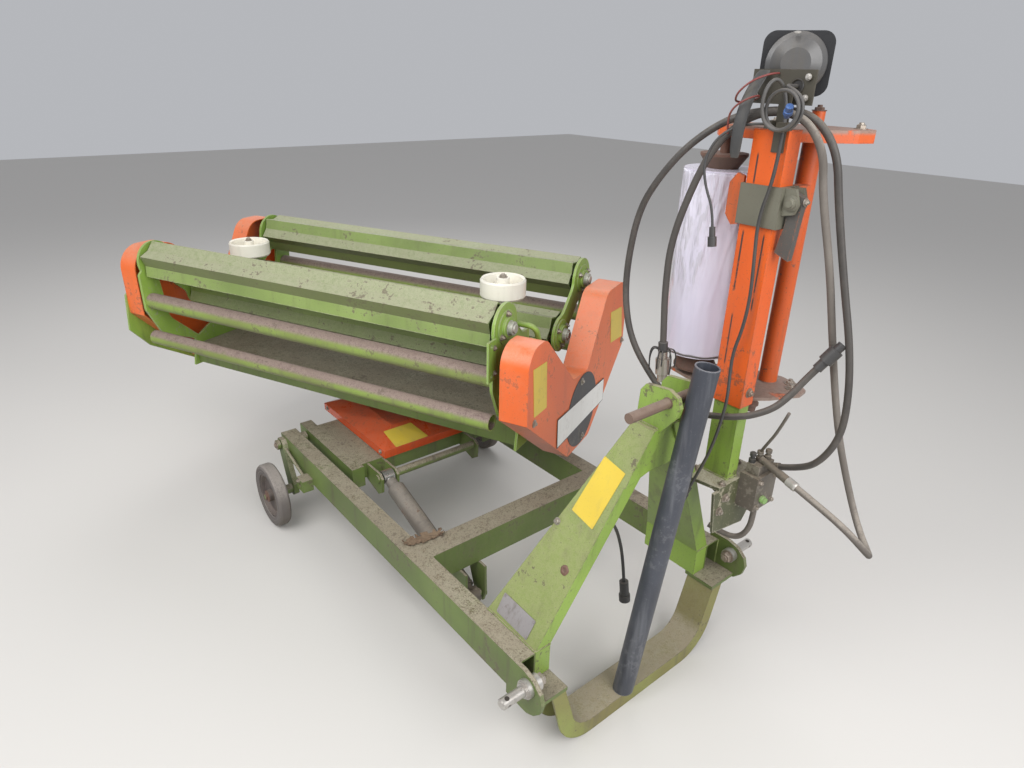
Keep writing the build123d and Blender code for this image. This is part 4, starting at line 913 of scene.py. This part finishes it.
panel(
    "cover_band_edge", [on_table(cover_wall + 1.9, b, z) for b, z in band_edge], 0.0004, "turntable", "worn_steel",
    disc_dark, 0.004)
front_spots = ((0, -388, 690), (1.8, 2, 676), (1.8, 38, 446), (0, 428, 690))
front_spots = [on_table(cover_wall + rise, b, z) for rise, b, z in front_spots]
bolts("cover_bolts_front", "turntable", spin_along, front_spots, head=8, height=5, shank=3)
bolts(
    "cover_bolts_rear", "turntable", -spin_along,
    [on_table(-888, b, z) for b, z in ((-360, 700), (360, 700), (0, 660), (0, 440))], head=8, height=5, shank=3)
slope_sign = [at(-580, -136, 360.6), at(-581, 6, 361.0), at(-661, -22, 394.6), at(-660, -143, 394.2)]
panel("bed_cover_sign", slope_sign, 0.0007, "bed", "orange_paint", foil_yellow, 0.004)
bolts(
    "bed_cover_bolts", "bed", (0, -1, 0), [at(x, -186, 346) for x in (-1060, -610)], head=6, height=4, washer=9,
    shank=1)

# Turntable end frames: bright green plates with flanged bearings, three bolts each, and
# grey shaft ends with a turned collar.
green_plate = painted(
    "green_plate", (0.255, 0.4, 0.065), (0.205, 0.335, 0.055), (0.3, 0.27, 0.18), dust=0.45, chips=0.6, gloss=0.42,
    bare=(0.3, 0.31, 0.22), grime_and_shade=(0.085, 0.09, 0.04), edge_highlight=(0.46, 0.52, 0.3))
dress(green_plate, "end_frame_front", "end_frame_rear", "rear_guard_plate")
shaft_steel = painted(
    "shaft_steel", (0.42, 0.43, 0.38), (0.33, 0.33, 0.28), (0.33, 0.3, 0.23), dust=0.45, chips=0.45, gloss=0.4,
    bare=(0.2, 0.17, 0.12), metal=0.35, edge_highlight=(0.6, 0.6, 0.54))
flange_face, shaft_face, flange_r = 779, 788.6, 43
bearing_places = {"a": (-312, 948), "b": (312, 948), "c": (130, 785), "d": (-130, 785)}
for end, way in (("front", 1), ("rear", -1)):
    flange_spots = []
    for b, z in bearing_places.values():
        for k in range(3):
            angle = math.radians(90 + 120 * k + (0 if b < 0 else 60))
            flange_spots.append(
                on_table(way * flange_face, b + flange_r * math.cos(angle), z + flange_r * math.sin(angle)))
    bolts(
        "bearing_bolts_" + end, "turntable", spin_along * way, flange_spots, head=8, height=6, washer=10.5, shank=5)
    for key, (b, z) in bearing_places.items():
        turned(
            "shaft_end_%s_%s" % (key, end), on_table(way * shaft_face, b, z), spin_along * way,
            [(0, 24), (1.2, 24), (1.6, 21.5), (14, 21.5), (15, 20.5), (15, 14.5), (19, 14.5), (20.5, 13)],
            "roller_" + key, "worn_steel", shaft_steel, 32)
bolts(
    "strap_bolts", "turntable", spin_along, [on_table(781, -397, z) for z in (830, 910)], head=6, height=4,
    washer=9, shank=2)
bolts(
    "guard_bolts", "turntable", -spin_along, [on_table(-888, b, z) for b, z in ((-200, 600), (200, 600))], head=9,
    height=6, washer=14, shank=3)
for end, way in hands:
    weld(
        "plate_weld_" + end, "turntable", "roller_green", green_plate,
        [on_table(765, way * 200.6, 561), on_table(700, way * 200.6, 561)], 2.6)

# Bale rollers: sheet folded to six ribs. Flanks that face up are pale with dust; those
# that face down are darkened to olive as painted shade.
green_roller = painted(
    "green_roller", (0.24, 0.325, 0.092), (0.18, 0.245, 0.07), (0.33, 0.33, 0.215), dust=0.8, chips=0.75,
    streaks=0.25, gloss=0.48, bare=(0.13, 0.1, 0.07), grime_and_shade=(0.1, 0.105, 0.045),
    topping=((0.215, 0.24, 0.125), (0.36, 0.365, 0.24), 0.85), edge_highlight=(0.52, 0.53, 0.38))
roller_tree = green_roller.node_tree
roller_normal = roller_tree.nodes.new("ShaderNodeNewGeometry").outputs["Normal"]
roller_up = new_node(roller_tree, "ShaderNodeSeparateXYZ", {"Vector": roller_normal}).outputs["Z"]
# painted shade: flanks that face down are darkened towards dark olive
paint_over(green_roller, times(roller_tree, ramp(roller_tree, roller_up, 0.1, -0.45), 0.7), (0.11, 0.12, 0.045))
dress(green_roller, "roller_a", "roller_b", "roller_c", "roller_d")

# Long tubes beside the rollers: green underneath, brown on top with years of dirt.
brown_tube = painted(
    "brown_tube", (0.225, 0.315, 0.06), (0.19, 0.235, 0.06), (0.25, 0.19, 0.155), dust=0.8, chips=0.55,
    streaks=0.35, gloss=0.55, topping=((0.15, 0.098, 0.084), (0.29, 0.22, 0.185), 1.0))
dress(brown_tube, "upper_tube_near", "lower_tube_near", "upper_tube_far", "lower_tube_far")

# Guide rollers: white nylon spools on greased steel stems, each under a nut.
nylon = painted(
    "nylon_white", (0.8, 0.775, 0.69), (0.74, 0.7, 0.6), (0.56, 0.5, 0.4), dust=0.25, chips=0.05, streaks=0.1,
    gloss=0.35, bare=(0.35, 0.3, 0.22))
dress(nylon, "guide_roller_front", "guide_roller_rear")
dress(steel_pin, "guide_stem_front", "guide_stem_rear")
for end, hub_spot in (("front", on_table(684, -160, 1040)), ("rear", on_table(-700, 100, 942))):
    turned(
        "guide_hub_" + end, hub_spot, (0, 0, 1), [(1.5, 20.5), (11, 20.5), (12.5, 19), (12.5, 11.0), (1.5, 11.0)],
        "guide_" + end, "nylon", nylon, 36, hollow=True)
bolts(
    "guide_nuts", "turntable", (0, 0, 1), [on_table(684, -160, 1053), on_table(-700, 100, 955)], head=11,
    washer=14.5, shank=3)

# Tilt cylinder: a dull barrel hung in the crossbeam's lugs, a bright rod, and a speckled
# steel sleeve that the rod's eye carries, which slides over the barrel and covers the rod.
dress(valve_dirty, "cylinder_barrel")
sleeve_foot = at(10, -215, 110)
sleeve_way = (at(-515, -215, 298) - sleeve_foot).normalized()
sleeve_grey = painted(
    "sleeve_grey", (0.175, 0.16, 0.14), (0.13, 0.112, 0.095), (0.275, 0.24, 0.2), dust=0.8, chips=0.8, streaks=0.4,
    gloss=0.55, bare=(0.15, 0.09, 0.06))
sleeve_shape = [
    (140, 29.3), (140, 31.0), (142, 31.6), (200, 31.6), (300, 31.6), (400, 31.6), (492, 31.6), (496, 29), (497, 21),
    (499, 20.4), (528, 20.4), (531, 18), (531, 14.3), (486, 14.3), (484, 29.3), (400, 29.3), (300, 29.3),
    (200, 29.3)]
turned("cylinder_sleeve", sleeve_foot, sleeve_way, sleeve_shape, "rod", "worn_steel", sleeve_grey, 40, hollow=True)
rod_bright = painted(
    "rod_bright", (0.52, 0.51, 0.49), (0.46, 0.44, 0.42), (0.33, 0.28, 0.23), dust=0.25, chips=0.1, streaks=0.2,
    gloss=0.24, metal=0.8)
dress(rod_bright, "cylinder_rod")

# Rear wheels: solid rubber pressed on a steel rim, grey with dust, the hub brown with
# rust under a plain cap.
tyre_black = painted(
    "tyre_black", (0.13, 0.115, 0.105), (0.09, 0.078, 0.072), (0.27, 0.24, 0.215), dust=1.0, chips=0.2, streaks=0.2,
    gloss=0.75, bare=(0.05, 0.04, 0.04), topping=((0.19, 0.165, 0.15), (0.3, 0.27, 0.245), 0.9),
    edge_highlight=(0.3, 0.27, 0.25))
rim_brown = painted(
    "rim_brown", (0.09, 0.072, 0.064), (0.062, 0.048, 0.043), (0.23, 0.19, 0.165), dust=0.8, streaks=0.4, gloss=0.6,
    edge_highlight=(0.27, 0.21, 0.18))
dress(tyre_black, "tyre_near", "tyre_far")
dress(rim_brown, "rim_near", "rim_far")
wheel_x, wheel_z = -911, 125
rib_steps, rib_sides = 64, 6
for hand, s in hands:
    turned(
        "hub_cap_" + hand, at(wheel_x, s * 527.2, wheel_z), (0, s, 0),
        [(0, 23.5), (2.5, 23.5), (4, 20), (5, 12.5), (9, 12.5), (10.5, 10)], "wheel_" + hand, "rust", rust_spot)
    for index, radius in enumerate((100.0, 107.0)):
        rib_rows = []
        for i in range(rib_steps):
            angle = 2 * math.pi * i / rib_steps
            section = []
            for k in range(rib_sides):
                round_rib = 2 * math.pi * k / rib_sides
                out_r = radius + 1.6 * math.cos(round_rib)
                side_y = s * (527.6 if index else 527.2) + s * 1.2 * math.sin(round_rib)
                section.append(at(wheel_x + out_r * math.cos(angle), side_y, wheel_z + out_r * math.sin(angle)))
            rib_rows.append(section)
        rib_name = "tyre_rib_%s_%d" % (hand, index)
        skinned(rib_name, rib_rows, "wheel_" + hand, "tyre_rubber", tyre_black, True, True, smooth=True)
    bolts("arm_bolt_" + hand, "frame", (0, s, 0), [at(-760, s * 452, 244)], head=7, height=5, washer=10, shank=3)

# Hoses: rubber under a woven sleeve gone grey-brown with dust, and one bare black. Each
# runs from the valve block up over the mast's head and ends in a quick coupler.
hose_sleeve = painted(
    "hose_sleeve", (0.175, 0.155, 0.135), (0.12, 0.104, 0.09), (0.3, 0.265, 0.225), dust=0.9, chips=0.15,
    streaks=0.4, gloss=0.8, bare=(0.06, 0.05, 0.045), grime_and_shade=(0.06, 0.05, 0.042),
    topping=((0.16, 0.135, 0.115), (0.3, 0.27, 0.235), 0.8))
hose_black = painted(
    "hose_black", (0.042, 0.038, 0.035), (0.06, 0.053, 0.047), (0.21, 0.18, 0.15), dust=0.7, chips=0.1,
    streaks=0.35, grime_and_shade=(0.12, 0.1, 0.085))
cable_black = painted(
    "cable_black", (0.03, 0.03, 0.032), (0.045, 0.043, 0.042), (0.17, 0.15, 0.13), dust=0.5, chips=0.0, streaks=0.2)
coupler_steel = painted(
    "coupler_steel", (0.4, 0.37, 0.33), (0.3, 0.255, 0.215), (0.26, 0.2, 0.155), dust=0.4, streaks=0.4, gloss=0.36,
    metal=0.6)
hose_tree = hose_sleeve.node_tree
left_run = ramp(hose_tree, spot_on(hose_tree)[1]["X"], zero.x + 0.62, zero.x + 0.5)
paint_over(hose_sleeve, times(hose_tree, left_run, 0.8), (0.045, 0.041, 0.038))
dress(coupler_steel, "coupler_1")
dress(cable_black, "coupler_2")
dress(cable_black, "plug_mast", "plug_wire", "plug_tape")


def free_cord(name, points, radius, material, node):
    line = nurbs_line(name, [at(*point) for point in points], radius, 5, 12)
    line.materials.append(material)
    cord_piece = placed(name, line)
    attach(cord_piece, "frame")
    if node:
        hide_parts(node)


route_1 = [
    (717, 258, 722), (805, 240, 708), (894, 218, 694), (941, 258, 633), (917, 345, 572), (856, 400, 596),
    (806, 405, 690), (765, 380, 821), (744, 345, 948), (720, 310, 1104), (700, 272, 1260), (664, 238, 1425),
    (657, 222, 1513), (600, 213, 1580), (498, 204, 1580), (442, 158, 1516), (420, 124, 1436), (373, 120, 1284),
    (373, 120, 1159), (382, 120, 1070), (388, 120, 1012)]
route_2 = [
    (668, 300, 724), (722, 300, 746), (766, 300, 786), (798, 305, 869), (792, 305, 978), (769, 300, 1096),
    (730, 290, 1230), (690, 268, 1400), (672, 250, 1512), (612, 238, 1579), (522, 233, 1584), (440, 202, 1566),
    (372, 150, 1506), (315, 122, 1425), (264, 120, 1339), (243, 120, 1208), (246, 120, 1101), (280, 120, 998),
    (358, 128, 912), (440, 140, 845), (592, 165, 875), (662, 205, 913), (688, 235, 955), (704, 255, 995),
    (721, 270, 1028)]
free_cord(
    "hose_sleeved", route_1, 8.5, hose_sleeve, "hose_1")
free_cord("hose_bare", route_2, 8.5, hose_black, "hose_2")
tie_count = 8
tie_x, tie_y, tie_z = 387.5, 120, 1006
for k in range(tie_count):
    turn_out = 2 * math.pi * k / tie_count + 0.25 * math.sin(k * 2.3)
    reach_out = 27 + 7 * math.sin(k * 1.9)
    drop = 48 + 14 * math.cos(k * 1.3)
    bends = ((13, -2), (17, 2), (reach_out, -4), (reach_out + 5, -0.55 * drop), (reach_out + 2, -drop))
    tie = [at(tie_x + r * math.cos(turn_out), tie_y + r * math.sin(turn_out), tie_z + h) for r, h in bends]
    tube_along("coupler_tie_%d" % k, tie, 1.9, "frame", "cable_black", cable_black)
turned(
    "coupler_wrap", at(386.6, 120, 1026), (0.1, 0, -1),
    [(0, 11), (2, 12.6), (10, 12.0), (20, 13.2), (26, 12.4), (28, 11)], "frame", "cable_black", cable_black, 24)
turned(
    "hose_crimp", at(716.5, 258.1, 722.1), (88, -18, -14),
    [(0, 11.5), (3, 12.5), (9, 11.8), (11, 12.5), (17, 11.8), (19, 12.5), (27, 12.0), (30, 9.2)], "frame",
    "bright_steel", bolt_pale, 24)

# Cables: the lamp's lead hung up in a coil and going on down the mast's face, a red wire
# round the strap, a thin wire with a small plug, and a taped bundle inside the hitch.
route_mast = [
    (584, 176, 1546), (584, 176, 1455), (562, 174, 1362), (570, 174, 1268), (577, 173, 1179), (572, 171, 1104),
    (558, 170, 1040), (562, 166, 985), (575, 152, 925), (574, 139, 857), (565, 130, 785), (545, 124, 715),
    (524, 124, 655)]
route_wire = [
    (544, 178, 1556), (502, 178, 1556), (460, 134, 1534), (438, 118, 1475), (452, 118, 1420), (478, 120, 1375),
    (484, 120, 1335)]
route_tape = [(430, -140, 600), (430, -92, 600), (432, -52, 560), (430, -20, 490), (436, -6, 420), (442, 0, 350)]
route_lead = [
    (576, 214, 1631), (576, 201, 1631), (577, 186, 1632), (580, 172, 1632), (588, 162.5, 1629.5),
    (604, 160, 1623.5), (618.9, 159.1, 1614), (628.1, 158.2, 1599), (630.1, 157.2, 1581.7), (624.6, 156.3, 1565.4),
    (612.8, 155.4, 1553.1), (597.1, 154.5, 1546.9), (580.5, 153.6, 1547.7), (565.8, 152.7, 1555.3),
    (555.5, 151.8, 1568.2), (551.4, 150.8, 1584.3), (554.4, 149.9, 1600.8), (564.1, 149, 1614.5),
    (578.9, 148.1, 1623), (595.9, 147.2, 1624.3), (611.9, 146.2, 1618.1), (623.7, 145.3, 1605.7),
    (629, 144.4, 1589.6), (626.8, 143.5, 1572.9), (617.9, 142.6, 1558.9), (604.2, 141.7, 1550),
    (588.1, 140.8, 1547.7), (572.7, 139.8, 1552.1), (560.5, 138.9, 1562.5), (553.6, 138, 1577),
    (550.5, 137.5, 1590), (550, 138, 1606), (551, 141, 1622), (554, 148.5, 1637), (558, 161, 1644),
    (563, 173.5, 1639), (568, 182, 1625), (573, 185, 1606), (578, 184, 1586), (582, 181, 1567), (584, 177.5, 1549)]
route_red = [
    (530, 214, 1655), (530, 202, 1655), (522, 184, 1652), (505, 156, 1640), (484, 144, 1618), (470, 156, 1600),
    (470, 176, 1596), (490, 190, 1600), (514, 182, 1608), (522, 160, 1612), (506, 143, 1604), (480, 138, 1586),
    (463, 150, 1560), (462, 160, 1532)]
free_cord(
    "cable_down_mast", route_mast, 4.0, cable_black, "cable_mast")
free_cord(
    "cable_thin", route_wire, 3.0, cable_black, "cable_wire")
free_cord(
    "cable_taped", route_tape, 4.5, cable_black, "cable_tape")
free_cord("lamp_lead", route_lead, 4.0, lead_grey, None)
free_cord("lamp_wire_red", route_red, 2.2, wire_red, None)
